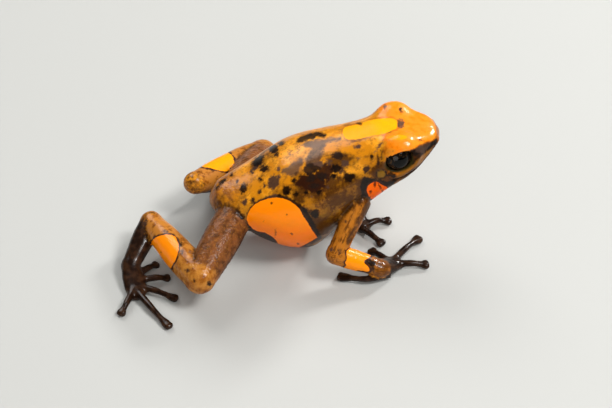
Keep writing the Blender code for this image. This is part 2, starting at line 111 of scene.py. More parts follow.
# Place along the body and height of the widest level, tilt in degrees, half width, rise
# above, drop below, squareness
TRUNK_SECTIONS = [
    (-12.9, 7.8, 15.0, 1.0, 0.8, 0.9, 2.0),
    (-12.25, 7.9, 18.0, 2.0, 1.55, 1.7, 2.0),
    (-10.8, 7.9, 24.0, 3.4, 2.75, 3.1, 2.0),
    (-7.6, 7.6, 28.0, 5.3, 4.2, 6.9, 2.1),
    (-4.2, 8.2, 30.0, 6.8, 5.1, 8.8, 2.1),
    (-1.0, 9.9, 27.0, 7.3, 5.35, 8.35, 2.1),
    (2.0, 11.3, 22.0, 6.95, 5.05, 6.9, 2.1),
    (5.0, 12.5, 15.0, 6.1, 4.6, 6.1, 2.1),
    (7.4, 13.2, 9.0, 5.5, 4.6, 5.6, 2.15),
    (9.3, 13.6, 4.0, 5.4, 4.85, 4.35, 2.2),
    (11.2, 13.6, 0.0, 5.3, 4.95, 2.35, 2.3),
    (13.2, 14.25, 0.0, 4.65, 4.25, 1.75, 2.3),
    (15.1, 15.25, 0.0, 3.5, 3.15, 1.25, 2.35),
    (16.3, 15.95, 0.0, 2.55, 2.2, 0.95, 2.3),
    (17.0, 16.35, 0.0, 1.65, 1.4, 0.65, 2.2),
    (17.32, 16.55, 0.0, 0.8, 0.75, 0.35, 2.0),
]
VENT_TIP = (-13.15, 0.0, 7.75)
NOSE_TIP = (17.42, 0.0, 16.65)

solid_corners = np.array([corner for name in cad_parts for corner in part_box(name)]) / MM - OWN_ORIGIN
block_low = np.floor((solid_corners.min(0) - BLOCK_MARGIN) / CELL).astype(int)
block_high = np.ceil((solid_corners.max(0) + BLOCK_MARGIN) / CELL).astype(int)
BLOCK_SHAPE = tuple(block_high - block_low)
FAR = BAND * CELL
NEARLY_FAR = (BAND - 0.5) * CELL


def curve_between(before, start, end, after, steps):
    """Steps along a smooth curve from start towards end, between their two neighbours."""
    return [0.5 * (2 * start + (end - before) * t + (2 * before - 5 * start + 4 * end - after) * t * t
                   + (3 * start - before - 3 * end + after) * t ** 3) for t in np.arange(steps) / steps]


def smooth_rows(rows, steps):
    """Rows on a smooth curve through the given rows, with the ends kept."""
    rows = np.array(rows, float)
    line = np.vstack([2 * rows[0] - rows[1], rows, 2 * rows[-1] - rows[-2]])
    curves = [curve_between(*four, steps) for four in zip(line, line[1:], line[2:], line[3:])]
    return np.vstack(curves + [rows[-1:]])


def row_at(rows, stations, station):
    """The row at a station, between rows that lie at the given stations."""
    return np.array([np.interp(station, stations, column) for column in rows.T])


def unit(ways):
    """A way, or each row of ways, at length 1."""
    return ways / np.linalg.norm(ways, axis=-1, keepdims=True)


def section_point(row, angle):
    """Points on a body section: angle 0 is the left side and a quarter turn on the back."""
    x, z, tilt, half_width, rise, drop, square = row
    power = 2.0 / square
    across = half_width * np.sign(np.cos(angle)) * np.abs(np.cos(angle)) ** power
    reach = np.where(np.sin(angle) > 0, rise, drop)
    height = reach * np.sign(np.sin(angle)) * np.abs(np.sin(angle)) ** power
    lean = math.radians(tilt)
    return np.stack([x - height * math.sin(lean), across, z + height * math.cos(lean)], -1)


def form_over(rings, first_tip, last_tip):
    """Distances to a closed form over rings of points, negative inside, and their lowest cell."""
    rings = np.array(rings)
    count, sides = rings.shape[:2]
    side = np.arange(sides)
    after = (side + 1) % sides
    start = np.arange(count - 1)[:, None] * sides
    quads = np.stack([start + side, start + after, start + sides + after, start + sides + side], -1)
    tip = np.full(sides, count * sides)
    ends = np.vstack([np.stack([tip, side, after], -1),
                      np.stack([tip + 1, side + (count - 1) * sides, after + (count - 1) * sides], -1)])
    points = np.vstack([rings.reshape(-1, 3), first_tip, last_tip])
    grid = openvdb.FloatGrid.createLevelSetFromPolygons(
        points.astype(np.float32), triangles=ends.astype(np.uint32),
        quads=quads.reshape(-1, 4).astype(np.uint32),
        transform=openvdb.createLinearTransform(voxelSize=CELL), halfWidth=float(BAND))
    low = np.floor(points.min(0) / CELL).astype(int) - BAND
    high = np.ceil(points.max(0) / CELL).astype(int) + BAND
    low = np.maximum(low, block_low)
    high = np.minimum(high, block_high)
    values = np.full(high - low, FAR, np.float32)
    grid.copyToArray(values, ijk=tuple(int(index) for index in low))
    return values, low


def part_of(field, form):
    """The part of a whole field that a form's cells cover."""
    values, low = form
    start = low - block_low
    return field[tuple(slice(a, a + n) for a, n in zip(start, values.shape))]


def join(field, form, blend):
    """Joins a form to a field, with a fillet of about that width in mm."""
    near = part_of(field, form)
    values = form[0]
    shared = np.maximum(blend - np.abs(near - values), 0.0)
    shared[(near > NEARLY_FAR) | (values > NEARLY_FAR)] = 0.0
    near[...] = np.minimum(near, values) - shared ** 2 / (4.0 * blend)


def take_away(field, form, blend):
    """Cuts a form out of a field, with a round edge of about that width in mm."""
    near = part_of(field, form)
    values = -form[0]
    shared = np.maximum(blend - np.abs(near - values), 0.0)
    near[...] = np.maximum(near, values) + shared ** 2 / (4.0 * blend)


forms = {}
trunk_rows = smooth_rows(TRUNK_SECTIONS, TRUNK_STEPS)
trunk_rings = [section_point(row, np.arange(TRUNK_SIDES) * math.tau / TRUNK_SIDES) for row in trunk_rows]
forms["trunk"] = form_over(trunk_rings, VENT_TIP, NOSE_TIP)
body_field = np.full(BLOCK_SHAPE, FAR, np.float32)
join(body_field, forms["trunk"], CELL)


# Hind legs
# Thigh, shank, tarsus and foot of each leg, folded as in a sitting frog. Each piece runs
# from joint to joint with the swell of its muscles, and round ends meet in a soft crease.
SIDES = ("right", "left")
HIPS = {"right": (-9.4, -1.6, 7.6), "left": (-9.4, 1.6, 7.6)}
KNEES = {"right": (-15.5, -11.3, 4.5), "left": (-4.5, 14.1, 4.0)}
HEELS = {"right": (-21.0, 1.2, 4.1), "left": (-14.6, 6.6, 5.9)}
ANKLES = {"right": (-24.3, -4.2, 1.5), "left": (-11.5, 11.4, 1.5)}
FOOT_ENDS = {"right": (-23.8, -8.6, 0.55), "left": (-9.7, 15.0, 0.55)}

# Each piece's profile: share of the way from joint to joint, half width, half height
LEG_PIECES = {
    "thigh": [(0.0, 2.3, 2.3), (0.4, 2.5, 2.55), (0.75, 2.3, 2.3), (1.0, 1.95, 1.95)],
    "shank": [(0.0, 1.95, 1.95), (0.3, 2.15, 2.15), (0.7, 1.9, 1.9), (1.0, 1.45, 1.45)],
    "tarsus": [(0.0, 1.45, 1.45), (0.3, 1.6, 1.4), (0.7, 1.4, 1.2), (1.0, 1.2, 1.0)],
    "foot": [(0.0, 1.15, 1.0), (0.4, 1.45, 0.8), (0.8, 1.45, 0.7), (1.0, 1.3, 0.62)],
}
LIMB_SIDES = 32
LIMB_STEPS = 8
END_TURNS = (80.0, 65.0, 50.0, 35.0, 20.0)
JOINT_CREASE = 0.45
HIP_FILLET = 0.8
UP = (0.0, 0.0, 1.0)


def ways_across(along, up=UP):
    """The level way across a line, or across each of its points, and the way up from it."""
    side_way = unit(np.cross(along, up))
    return side_way, np.cross(side_way, unit(along))


def oval_ring(place, ways, halves, sides):
    """A ring round a place, with its half width and half height along two ways."""
    angle = (np.arange(sides) * math.tau / sides)[:, None]
    return place + ways[0] * halves[0] * np.cos(angle) + ways[1] * halves[1] * np.sin(angle)


def limb_form(start, end, profile):
    """A limb piece from joint to joint, oval across, with round ends."""
    along = unit(end - start)
    ways = ways_across(along)
    rows = smooth_rows(profile, LIMB_STEPS)
    first_end, last_end = [[(joint + outward * row[1] * math.sin(turn), row[1:] * math.cos(turn))
                            for turn in np.radians(END_TURNS)]
                           for joint, outward, row in ((start, -along, rows[0]), (end, along, rows[-1]))]
    middle = [(start + (end - start) * row[0], row[1:]) for row in rows]
    rings = [oval_ring(place, ways, halves, LIMB_SIDES)
             for place, halves in first_end + middle + last_end[::-1]]
    return form_over(rings, start - along * rows[0][1], end + along * rows[-1][1])


def limb_field(side, joints, pieces):
    """A whole limb: a form from joint to joint for each piece, joined in soft creases."""
    field = np.full(BLOCK_SHAPE, FAR, np.float32)
    for (piece, profile), start, end in zip(pieces.items(), joints, joints[1:]):
        name = piece + "_" + side
        limb_lines[name] = (np.array(start[side]), np.array(end[side]))
        forms[name] = limb_form(*limb_lines[name], profile)
        join(field, forms[name], JOINT_CREASE)
    return field


limb_lines = {}
leg_fields = {side: limb_field(side, (HIPS, KNEES, HEELS, ANKLES, FOOT_ENDS), LEG_PIECES) for side in SIDES}


# Arms
# Upper arm, forearm and palm, the right one set wide and the left one under the chest.
SHOULDERS = {"right": (6.2, -4.75, 9.7), "left": (6.2, 4.75, 9.7)}
ELBOWS = {"right": (2.7, -8.6, 4.25), "left": (2.6, 7.6, 4.6)}
WRISTS = {"right": (8.5, -9.2, 1.8), "left": (6.0, 3.3, 1.8)}
PALM_ENDS = {"right": (10.9, -7.3, 0.62), "left": (7.7, 1.0, 0.62)}
ARM_PIECES = {
    "upper_arm": [(0.0, 1.65, 1.65), (0.35, 1.5, 1.5), (0.7, 1.3, 1.3), (1.0, 1.25, 1.25)],
    "forearm": [(0.0, 1.25, 1.25), (0.3, 1.42, 1.4), (0.75, 1.3, 1.2), (1.0, 1.25, 1.0)],
    "palm": [(0.0, 1.45, 1.05), (0.5, 1.5, 0.85), (1.0, 1.2, 0.7)],
}
SHOULDER_FILLET = 0.3

arm_fields = {side: limb_field(side, (SHOULDERS, ELBOWS, WRISTS, PALM_ENDS), ARM_PIECES) for side in SIDES}


# Toes and fingers
# Slim, unwebbed digits that end in flat round discs, each disc with two small scutes on
# top. Each lies on the floor from its root in the foot or palm, over a raised knuckle.
TOES = {
    "right": [((-22.9, -4.9), (-21.9, -4.2), (-20.8, -3.2)),
              ((-22.6, -6.4), (-21.0, -6.3), (-19.4, -6.1)),
              ((-22.8, -8.0), (-21.2, -8.9), (-18.7, -10.3)),
              ((-23.4, -9.2), (-22.0, -12.2), (-20.0, -15.5)),
              ((-24.5, -9.0), (-25.2, -10.7), (-26.1, -12.3))],
    "left": [((-9.9, 11.9), (-8.8, 12.2), (-7.7, 12.6)),
             ((-9.2, 13.3), (-8.0, 14.0), (-6.6, 14.7)),
             ((-8.9, 14.6), (-7.5, 15.9), (-5.7, 17.1)),
             ((-9.5, 15.6), (-8.6, 17.5), (-7.2, 19.4)),
             ((-10.6, 14.9), (-10.6, 16.0), (-10.1, 17.4))],
}
FINGERS = {
    "right": [((10.0, -6.9), (9.1, -5.6), (8.2, -4.1)),
              ((11.2, -6.4), (12.9, -4.6), (15.0, -2.4)),
              ((11.6, -7.6), (13.2, -7.8), (15.2, -7.8)),
              ((8.9, -9.7), (6.6, -10.1), (3.2, -8.65))],
    "left": [((7.6, 0.2), (8.7, -1.4), (9.9, -2.9)),
             ((8.4, 0.9), (9.8, 1.5), (11.6, 1.8)),
             ((7.7, 2.0), (8.2, 4.0), (8.5, 6.4)),
             ((6.3, 2.1), (5.0, 3.4), (3.4, 4.6))],
}
TOE_HEIGHT = 0.72
KNUCKLE_HEIGHT = 0.82
TOE_DISC_WIDTH = 0.66
FINGER_DISC_WIDTH = 0.8
DISC_HEIGHT = 0.42
DISC_END = 0.3
FLOOR_SINK = 0.12
ROOT_INSIDE = 1.0
SCUTE_RADII = (0.27, 0.34, 0.2)
SCUTE_ASIDE = 0.4
SCUTE_BACK = 0.12
SCUTE_RISE = 0.72
TOE_SIDES = 20
TOE_STEPS = 24
TOE_PROFILE_STEPS = 4
TOE_FILLET = 0.4
DISC_TURNS = (25.0, 50.0, 72.0)

# Share of the way to the tip, half width, half height, share of the disc
TOE_PROFILE = [(0.0, 0.52, 0.5, 0.0), (0.3, 0.47, 0.46, 0.0), (0.45, 0.46, 0.45, 0.0),
               (0.62, 0.41, 0.39, 0.0), (0.76, 0.4, 0.37, 0.1), (0.86, 0.4, 0.37, 0.7),
               (0.93, 0.4, 0.37, 1.0), (1.0, 0.4, 0.37, 0.86)]


def cells_round(centre, reach):
    """The places of the cells in a cube round a place, and the lowest cell."""
    low = np.maximum(np.floor((np.array(centre) - reach) / CELL).astype(int), block_low)
    high = np.minimum(np.ceil((np.array(centre) + reach) / CELL).astype(int), block_high)
    ranges = [np.arange(a, b) * CELL for a, b in zip(low, high)]
    return np.stack(np.meshgrid(*ranges, indexing="ij"), -1), low


def ball_form(centre, radii, axes=np.eye(3)):
    """A ball or an egg shape round a place, with its radii along three axes."""
    places, low = cells_round(centre, max(radii) + FAR)
    offset = (places - centre) @ np.array(axes).T / radii
    scaled = np.linalg.norm(offset, axis=-1)
    slope = np.linalg.norm(offset / radii, axis=-1) + 1e-9
    return (scaled * (scaled - 1.0) / slope).astype(np.float32), low


def toe_path(points):
    """The middle line of a toe from inside the foot, over its knuckle, to its disc."""
    root, bend, tip = (np.array(point) for point in points)
    inside = root + unit(root - bend) * ROOT_INSIDE
    rows = [(*inside, TOE_HEIGHT), (*bend, KNUCKLE_HEIGHT), (*tip, DISC_HEIGHT - FLOOR_SINK)]
    return smooth_rows(rows, TOE_STEPS // 2)


def toe_forms(points, disc_width):
    """A toe's own form, and the forms of the two scutes on its disc."""
    path = toe_path(points)
    share_of_path = np.linspace(0.0, 1.0, len(path))
    rings = []
    for share, *halves, disc_share in smooth_rows(TOE_PROFILE, TOE_PROFILE_STEPS):
        place = row_at(path, share_of_path, share)
        along = row_at(np.gradient(path, axis=0), share_of_path, share)
        halves = [half + (disc_half - half) * disc_share
                  for half, disc_half in zip(halves, (disc_width, DISC_HEIGHT))]
        rings.append(oval_ring(place, ways_across(along), halves, TOE_SIDES))
    ahead = unit(along * (1.0, 1.0, 0.0))
    tip = path[-1]
    last = rings[-1]
    for turn in np.radians(DISC_TURNS):
        rings.append(tip + ahead * DISC_END * math.sin(turn) + (last - tip) * math.cos(turn))
    toe = form_over(rings, path[0], tip + ahead * DISC_END)
    side_way = np.cross(ahead, UP)
    scute_middle = tip - ahead * SCUTE_BACK + np.array(UP) * DISC_HEIGHT * SCUTE_RISE
    scutes = [ball_form(scute_middle + side_way * hand * disc_width * SCUTE_ASIDE, SCUTE_RADII,
                        (side_way, ahead, UP)) for hand in (1, -1)]
    return toe, scutes


for word, limb_fields, digit_lines, disc_width in (("toes", leg_fields, TOES, TOE_DISC_WIDTH),
                                                   ("fingers", arm_fields, FINGERS, FINGER_DISC_WIDTH)):
    for side in SIDES:
        digits = np.full(BLOCK_SHAPE, FAR, np.float32)
        for points in digit_lines[side]:
            toe, scutes = toe_forms(points, disc_width)
            for form in (toe, *scutes):
                join(digits, form, CELL)
        forms[word + "_" + side] = (digits, block_low)
        join(limb_fields[side], forms[word + "_" + side], TOE_FILLET)

skin_field = body_field
for side in SIDES:
    join(skin_field, (leg_fields[side], block_low), HIP_FILLET)
    join(skin_field, (arm_fields[side], block_low), SHOULDER_FILLET)


# Eyelids, sockets, lips, nostrils and eardrums
# A low dome of lid over each eye, open in an oval with a raised rim, the line of the mouth
# under a full upper lip, two nostrils near the snout and a round eardrum behind each eye.
EYE_RADIUS = 1.95
LID_PLACE = (12.0, 3.3, 16.65)
LID_RADII = (2.7, 2.4, 2.58)
LID_FILLET = 1.1
CANTHUS_LINE = [(13.2, 3.05, 17.3), (14.6, 2.75, 17.35), (15.7, 2.15, 17.2), (16.4, 1.4, 16.8)]
CANTHUS_RADIUS = 0.7
CANTHUS_FILLET = 0.9
CANTHUS_STEPS = 6
EYE_LOOK = (0.12, 0.98, 0.05)
EYE_OPENING_LONG = 56.0
EYE_OPENING_HIGH = 41.0
EYE_OPENING_TILT = 20.0
EYE_OPENING_SQUARE = 2.4
SOCKET_GAP = 0.05
SOCKET_REACH = 2.2
SOCKET_DEPTH = 0.5
OPENING_ROUND = 0.25
RIM_RADIUS = 0.12
RIM_FILLET = 0.3
LID_THICKNESS = 0.22
LID_SLOPES = (0.5, 2.2)
LID_SLOPE_START = 0.1
LID_CURVE = 0.5
LID_CUT_EASE = 0.8
LID_TAPER_REACH = 1.6
LID_TAPER_ROUND = 0.5
TUBE_SIDES = 12
TUBE_UP = (0.03, 0.02, 1.0)
MOUTH_START = 10.4
MOUTH_END = 17.05
MOUTH_POINTS = 24
MOUTH_MIDDLE = (11.0, 0.0, 0.0)
MOUTH_FRONT_IN = 0.02
MOUTH_FRONT_RISE = 0.05
MOUTH_RADIUS = 0.17
LIP_RADIUS = 0.34
LIP_RISE = 0.42
LIP_SINK = 0.24
LIP_FILLET = 0.5
NOSTRIL_STATION = 16.2
NOSTRIL_ANGLE = 24.0
NOSTRIL_RADIUS = 0.2
CUT_ROUND = 0.15
FLOOR_ROUND = 0.2


def eye_axes(hand):
    """The middle of an eye and its level, upward and outward ways; hand is 1 at the left."""
    look = unit(np.array(EYE_LOOK) * (1.0, hand, 1.0))
    tilt = math.radians(EYE_OPENING_TILT)
    level = unit(np.cross(np.cross(look, (math.cos(tilt), 0.0, math.sin(tilt))), look))
    return np.array(EYE_PLACE) * (1.0, hand, 1.0), np.array([level, np.cross(level, look) * hand, look])


def opening_oval(level_share, high_share):
    """The size of the oval through places against the opening's, from their shares of its halves."""
    square = EYE_OPENING_SQUARE
    return (np.abs(level_share) ** square + np.abs(high_share) ** square) ** (1.0 / square)


def opening_distance(places, hand):
    """How far places are outside the lids' opening, in mm over the eye, and from its middle."""
    centre, axes = eye_axes(hand)
    level, high, out = np.moveaxis((places - centre) @ axes.T, -1, 0)
    oval = opening_oval(np.degrees(np.arctan2(level, out)) / EYE_OPENING_LONG,
                        np.degrees(np.arctan2(high, out)) / EYE_OPENING_HIGH)
    middle_angle = math.radians(0.5 * (EYE_OPENING_LONG + EYE_OPENING_HIGH))
    return (oval - 1.0) * EYE_RADIUS * middle_angle, np.linalg.norm(places - centre, axis=-1)


def opening_reach(places, hand):
    """How far places are aside of the opening and out from the eye's middle, and the eye's depth."""
    centre, axes = eye_axes(hand)
    level, high, out = np.moveaxis((places - centre) @ axes.T, -1, 0)
    long_half = EYE_RADIUS * math.sin(math.radians(EYE_OPENING_LONG))
    high_half = EYE_RADIUS * math.sin(math.radians(EYE_OPENING_HIGH))
    oval = opening_oval(level / long_half, high / high_half)
    aside = np.maximum(oval - 1.0, 0.0) * 0.5 * (long_half + high_half)
    edge = np.hypot(level, high) / np.maximum(oval, 1.0)
    return aside, out, np.sqrt(np.maximum(EYE_RADIUS ** 2 - edge ** 2, 0.0))


def tube_form(points, radius):
    """A thin round tube along a line of places."""
    ways = ways_across(np.gradient(points, axis=0), TUBE_UP)
    rings = [oval_ring(point, pair, (radius, radius), TUBE_SIDES) for point, *pair in zip(points, *ways)]
    return form_over(rings, points[0], points[-1])


def body_point(station, angle, hand):
    """The point on one side of the body at a station, at degrees up from the widest level."""
    row = row_at(trunk_rows, trunk_rows[:, 0], station)
    return section_point(row, math.radians(angle if hand > 0 else 180.0 - angle))


for hand in (1, -1):
    join(skin_field, ball_form(np.array(LID_PLACE) * (1.0, hand, 1.0), LID_RADII), LID_FILLET)
    canthus = smooth_rows(CANTHUS_LINE, CANTHUS_STEPS) * (1.0, hand, 1.0)
    join(skin_field, tube_form(canthus, CANTHUS_RADIUS), CANTHUS_FILLET)
    centre, axes = eye_axes(hand)
    places, low = cells_round(centre, EYE_RADIUS * SOCKET_REACH)
    outside, radius = opening_distance(places, hand)
    aside, out, edge_depth = opening_reach(places, hand)
    rise = np.clip((places[..., 2] - centre[2]) / radius - LID_SLOPE_START, 0.0, 1.0)
    slope = LID_SLOPES[0] + (LID_SLOPES[1] - LID_SLOPES[0]) * rise
    thin_lid = edge_depth + LID_THICKNESS + slope * aside + LID_CURVE * aside ** 2 - out
    lid_cut = np.maximum(thin_lid * LID_CUT_EASE, aside - LID_TAPER_REACH)
    take_away(skin_field, (lid_cut, low), LID_TAPER_ROUND)
    rim = np.hypot(outside, radius - EYE_RADIUS - RIM_RADIUS) - RIM_RADIUS
    join(skin_field, (rim, low), RIM_FILLET)
    opening_cut = np.maximum(outside, EYE_RADIUS * SOCKET_DEPTH - radius)
    take_away(skin_field, (opening_cut, low), OPENING_ROUND)
    take_away(skin_field, (radius - EYE_RADIUS - SOCKET_GAP, low), CELL)

stations = MOUTH_START + (MOUTH_END - MOUTH_START) * np.sin(np.linspace(0.0, math.pi / 2, MOUTH_POINTS))
half_line = np.array([body_point(station, 0.0, 1) for station in stations])
front = (NOSE_TIP[0] - MOUTH_FRONT_IN, 0.0, half_line[-1][2] + MOUTH_FRONT_RISE)
mouth_line = np.vstack([half_line, front, half_line[::-1] * (1.0, -1.0, 1.0)])
outward = unit((mouth_line - MOUTH_MIDDLE) * (1.0, 1.0, 0.0))
lip_line = mouth_line - outward * LIP_SINK + (0.0, 0.0, LIP_RISE)
join(skin_field, tube_form(lip_line[2:-2], LIP_RADIUS), LIP_FILLET)
take_away(skin_field, tube_form(mouth_line, MOUTH_RADIUS), CUT_ROUND)

nostrils = {hand: body_point(NOSTRIL_STATION, NOSTRIL_ANGLE, hand) for hand in (1, -1)}
for nostril in nostrils.values():
    take_away(skin_field, ball_form(nostril, (NOSTRIL_RADIUS,) * 3), CUT_ROUND)

block_heights = (np.arange(BLOCK_SHAPE[2]) + block_low[2]) * CELL
under_floor = np.broadcast_to(block_heights.astype(np.float32), BLOCK_SHAPE)
take_away(skin_field, (under_floor, block_low), FLOOR_ROUND)


# Skin
# One seamless, moist skin over all of the flesh but the eyes. It is drawn through the cells
# where the distance is nought, evened, and made twice as fine over the face.
EVENING_PULLS = (0.5, -0.52)
EVENING_ROUNDS = 3
FACE_EVENING_ROUNDS = 5
FACE_START = (9.4, 11.6)

grid = openvdb.FloatGrid(float(FAR))
grid.copyFromArray(skin_field, ijk=tuple(int(index) for index in block_low))
skin_points, skin_quads = grid.convertToQuads(0.0)
skin_mesh = bpy.data.meshes.new("skin")
skin_mesh.from_pydata((skin_points * CELL).tolist(), [], skin_quads.tolist())


def evened(mesh, rounds, chosen=None):
    """The mesh's points after rounds of evening that keep its volume."""
    points = np.empty(len(mesh.vertices) * 3)
    mesh.vertices.foreach_get("co", points)
    points = points.reshape(-1, 3)
    edges = np.empty(len(mesh.edges) * 2, int)
    mesh.edges.foreach_get("vertices", edges)
    first, second = edges.reshape(-1, 2).T
    ends = np.concatenate([first, second])
    others = np.concatenate([second, first])
    links = np.bincount(ends, minlength=len(points))[:, None]
    for step in range(rounds):
        for pull in EVENING_PULLS:
            middle = np.stack([np.bincount(ends, points[others, axis], len(points)) for axis in range(3)], 1)
            moved = points + pull * (middle / links - points)
            points = moved if chosen is None else np.where(chosen[:, None], moved, points)
    return points


def set_points(mesh, points):
    """Moves the mesh's vertices to these places."""
    mesh.vertices.foreach_set("co", np.ascontiguousarray(points, np.float32).ravel())
    mesh.update()


set_points(skin_mesh, evened(skin_mesh, EVENING_ROUNDS))
fine = bmesh.new()
fine.from_mesh(skin_mesh)
bmesh.ops.recalc_face_normals(fine, faces=fine.faces)
face_edges = [edge for edge in fine.edges
              if all(vert.co.x > FACE_START[0] and vert.co.z > FACE_START[1] for vert in edge.verts)]
bmesh.ops.subdivide_edges(fine, edges=face_edges, cuts=1, use_grid_fill=True)
fine.to_mesh(skin_mesh)
fine.free()
points = evened(skin_mesh, 0)
on_face = (points[:, 0] > FACE_START[0]) & (points[:, 2] > FACE_START[1])
set_points(skin_mesh, evened(skin_mesh, FACE_EVENING_ROUNDS, on_face))


# Folds of the face
# The closed lips, the fold of the upper lid, the rim round each nostril and the thin round
# skin of the eardrum, pressed into the skin as small grooves and ridges.
EARDRUM_STATION = 9.12
EARDRUM_ANGLE = 10.0
EARDRUM_RADIUS = 0.6
EARDRUM_SINK = 0.04
LID_FOLD_OUT = 0.62
LID_SEEN_REACH = 1.9
LIP_EDGE_UP = 0.3
NOSTRIL_RIM_OUT = 0.34

# Each fold's height, less than nought where it goes in, and its width
LIP_GROOVE = (-0.1, 0.16)
LIP_EDGE = (0.05, 0.2)
LID_FOLD = (-0.07, 0.14)
EARDRUM_RING = (-0.08, 0.13)
NOSTRIL_RIM = (0.05, 0.13)


def groove(distance, width):
    """The share of a groove's depth at a distance from its middle line."""
    return np.exp(-(distance / width) ** 2)


def fold(distance, size):
    """How far the skin is raised at a distance from the middle line of a fold of that size."""
    return size[0] * groove(distance, size[1])


def line_distance(points, line):
    """How far points are from a line of places."""
    nearest = np.full(len(points), np.inf)
    for start, end in zip(line, line[1:]):
        way = end - start
        share = np.clip(((points - start) @ way) / (way @ way), 0.0, 1.0)
        nearest = np.minimum(nearest, np.linalg.norm(points - start - share[:, None] * way, axis=1))
    return nearest


def normals_of(mesh):
    """The ways that the mesh faces at its vertices."""
    normals = np.empty(len(mesh.vertices) * 3, np.float32)
    mesh.vertices.foreach_get("normal", normals)
    return normals.reshape(-1, 3).astype(float)


def nearest_of(places):
    """How far the skin's points are from the nearest of some places."""
    return np.min([np.linalg.norm(points - place, axis=1) for place in places], axis=0)


points = evened(skin_mesh, 0)
normals = normals_of(skin_mesh)
mouth_distance = line_distance(points, mouth_line)
eardrum_distance = nearest_of([body_point(EARDRUM_STATION, EARDRUM_ANGLE, hand) for hand in (1, -1)])
nostril_distance = nearest_of(nostrils.values())
raised = fold(mouth_distance, LIP_GROOVE)
raised += fold(line_distance(points, mouth_line + (0.0, 0.0, LIP_EDGE_UP)), LIP_EDGE)
raised += fold(eardrum_distance - EARDRUM_RADIUS, EARDRUM_RING)
raised -= EARDRUM_SINK * (eardrum_distance < EARDRUM_RADIUS)
raised += fold(nostril_distance - NOSTRIL_RIM_OUT, NOSTRIL_RIM)
lid_distance = np.full(len(points), np.inf)
for hand in (1, -1):
    outside, radius = opening_distance(points, hand)
    aside, out, edge_depth = opening_reach(points, hand)
    aside = np.where((out > 0.0) & (radius < EYE_RADIUS * LID_SEEN_REACH), aside, np.inf)
    lid_distance = np.minimum(lid_distance, aside)
    upper = np.clip((points[:, 2] - EYE_PLACE[2]) / EYE_RADIUS, 0.0, 1.0)
    raised += fold(aside - LID_FOLD_OUT, LID_FOLD) * upper
points = points + normals * raised[:, None]
set_points(skin_mesh, points)


# Marks on the skin
# Bright patches, dark spots and clouds, painted where the picture shows them: each is given
# in pixels of the picture, and the skin's points take their distance in mm from its edge.
FLANK_PATCH = [
    (246.6, 219.9), (248.5, 212.5), (254, 205.1), (262.4, 200.5), (271.6, 197.9), (279, 197.7),
    (286.4, 199.6), (293.8, 203.7), (299.4, 208.8), (303, 215.3), (307.7, 222.7), (312.3, 230.1),
    (317.5, 237.5), (317.5, 237.5), (307, 243.5), (298.4, 248), (288.3, 252), (281, 252), (276.2, 240.3),
    (266.1, 233.3), (260.5, 231.9), (255, 230.1), (250.3, 226.4),
]
FLANK_BORDER = [
    (245.6, 221), (247.4, 211.8), (252.6, 204), (261, 198.6), (269, 195), (277, 193.6), (285.4, 195.2),
    (293, 199.2), (301, 204.6), (307.4, 210.6), (311.8, 217.6), (315.6, 225), (319.4, 232), (321, 239),
    (305, 246), (276, 258), (252, 252), (241.5, 234),
]
CROWN_PATCH = [
    (342.6, 131.9), (344.8, 127.4), (351.5, 125.4), (359, 124), (369, 120.7), (378.2, 119), (386, 118.2),
    (393, 118.6), (396.8, 121), (397.2, 124.5), (396.4, 128.2), (389.8, 131.3), (382.8, 134),
    (374.4, 135.2), (365.2, 137.4), (356.8, 139.3), (348.4, 139.7), (344.5, 137.2),
]
LID_PATCH = [
    (385, 138.5), (389, 135.6), (396, 134), (404, 134.4), (408.5, 137.5), (402, 140.2), (393, 140.6),
]
THROAT_PATCH = [
    (367, 189), (368.8, 185), (373, 182.4), (377, 182), (381.5, 184.6), (386.5, 187), (389, 192),
    (384, 199), (378, 203), (371, 198.5), (367.6, 193.5),
]
SHANK_PATCH = [
    (153.2, 239.4), (159.8, 235.7), (168.1, 234.4), (174.7, 236.5), (177.6, 241.5), (178.8, 246.5),
    (178, 252.3), (176.4, 258.1), (173, 263.9), (169, 270), (164, 267), (156, 257), (151, 247),
]
FAR_SHANK_PATCH = [
    (200.5, 165.5), (206, 158), (213.6, 153), (223.5, 150.5), (229.5, 153.4), (232.8, 157), (234.1, 162.6),
    (231.8, 168.1), (226.3, 171.3), (218.9, 170.4), (210.6, 168.1),
]
FOREARM_PATCH = [
    (346.4, 248), (351, 246.5), (360, 249), (370.5, 254.5), (368.2, 258.2), (364.9, 260), (364.4, 262.7),
    (368, 266.4), (369.6, 269.1), (368.2, 271.8), (361.8, 270.9), (357.3, 270.6), (355.3, 273),
    (350.4, 274.5), (343.6, 269), (346.2, 265.5), (344.8, 262.7), (346.8, 259),
]

# Dark blotches with outlines of their own: a band along the spine, a red-brown cluster
BACK_BAND = [
    (296.4, 140.7), (298.6, 137.1), (304.3, 134.6), (311.4, 132.4), (320, 131.8), (326.4, 134.6),
    (324.3, 138.2), (317.1, 136.8), (314.3, 139.6), (307.1, 140.3), (301.4, 142.9), (297.1, 142.9),
]
RED_CLUSTER = [
    (297, 179), (302, 175.6), (308, 174), (314.5, 174.8), (318, 169.4), (323.6, 165.6), (330, 164.6),
    (334.6, 168), (333, 173.4), (327.6, 177), (325.4, 184), (321, 189.6), (314.6, 191), (306.6, 189.6),
    (300.6, 186.4), (297.4, 182.4),
]
SADDLE_DARK = [
    (303.6, 168), (307.6, 163.6), (313.3, 162.2), (319.6, 161), (324, 162.6), (322, 167.6), (317, 171.4),
    (312.4, 174.9), (305.4, 174.1), (302.6, 171.4),
]

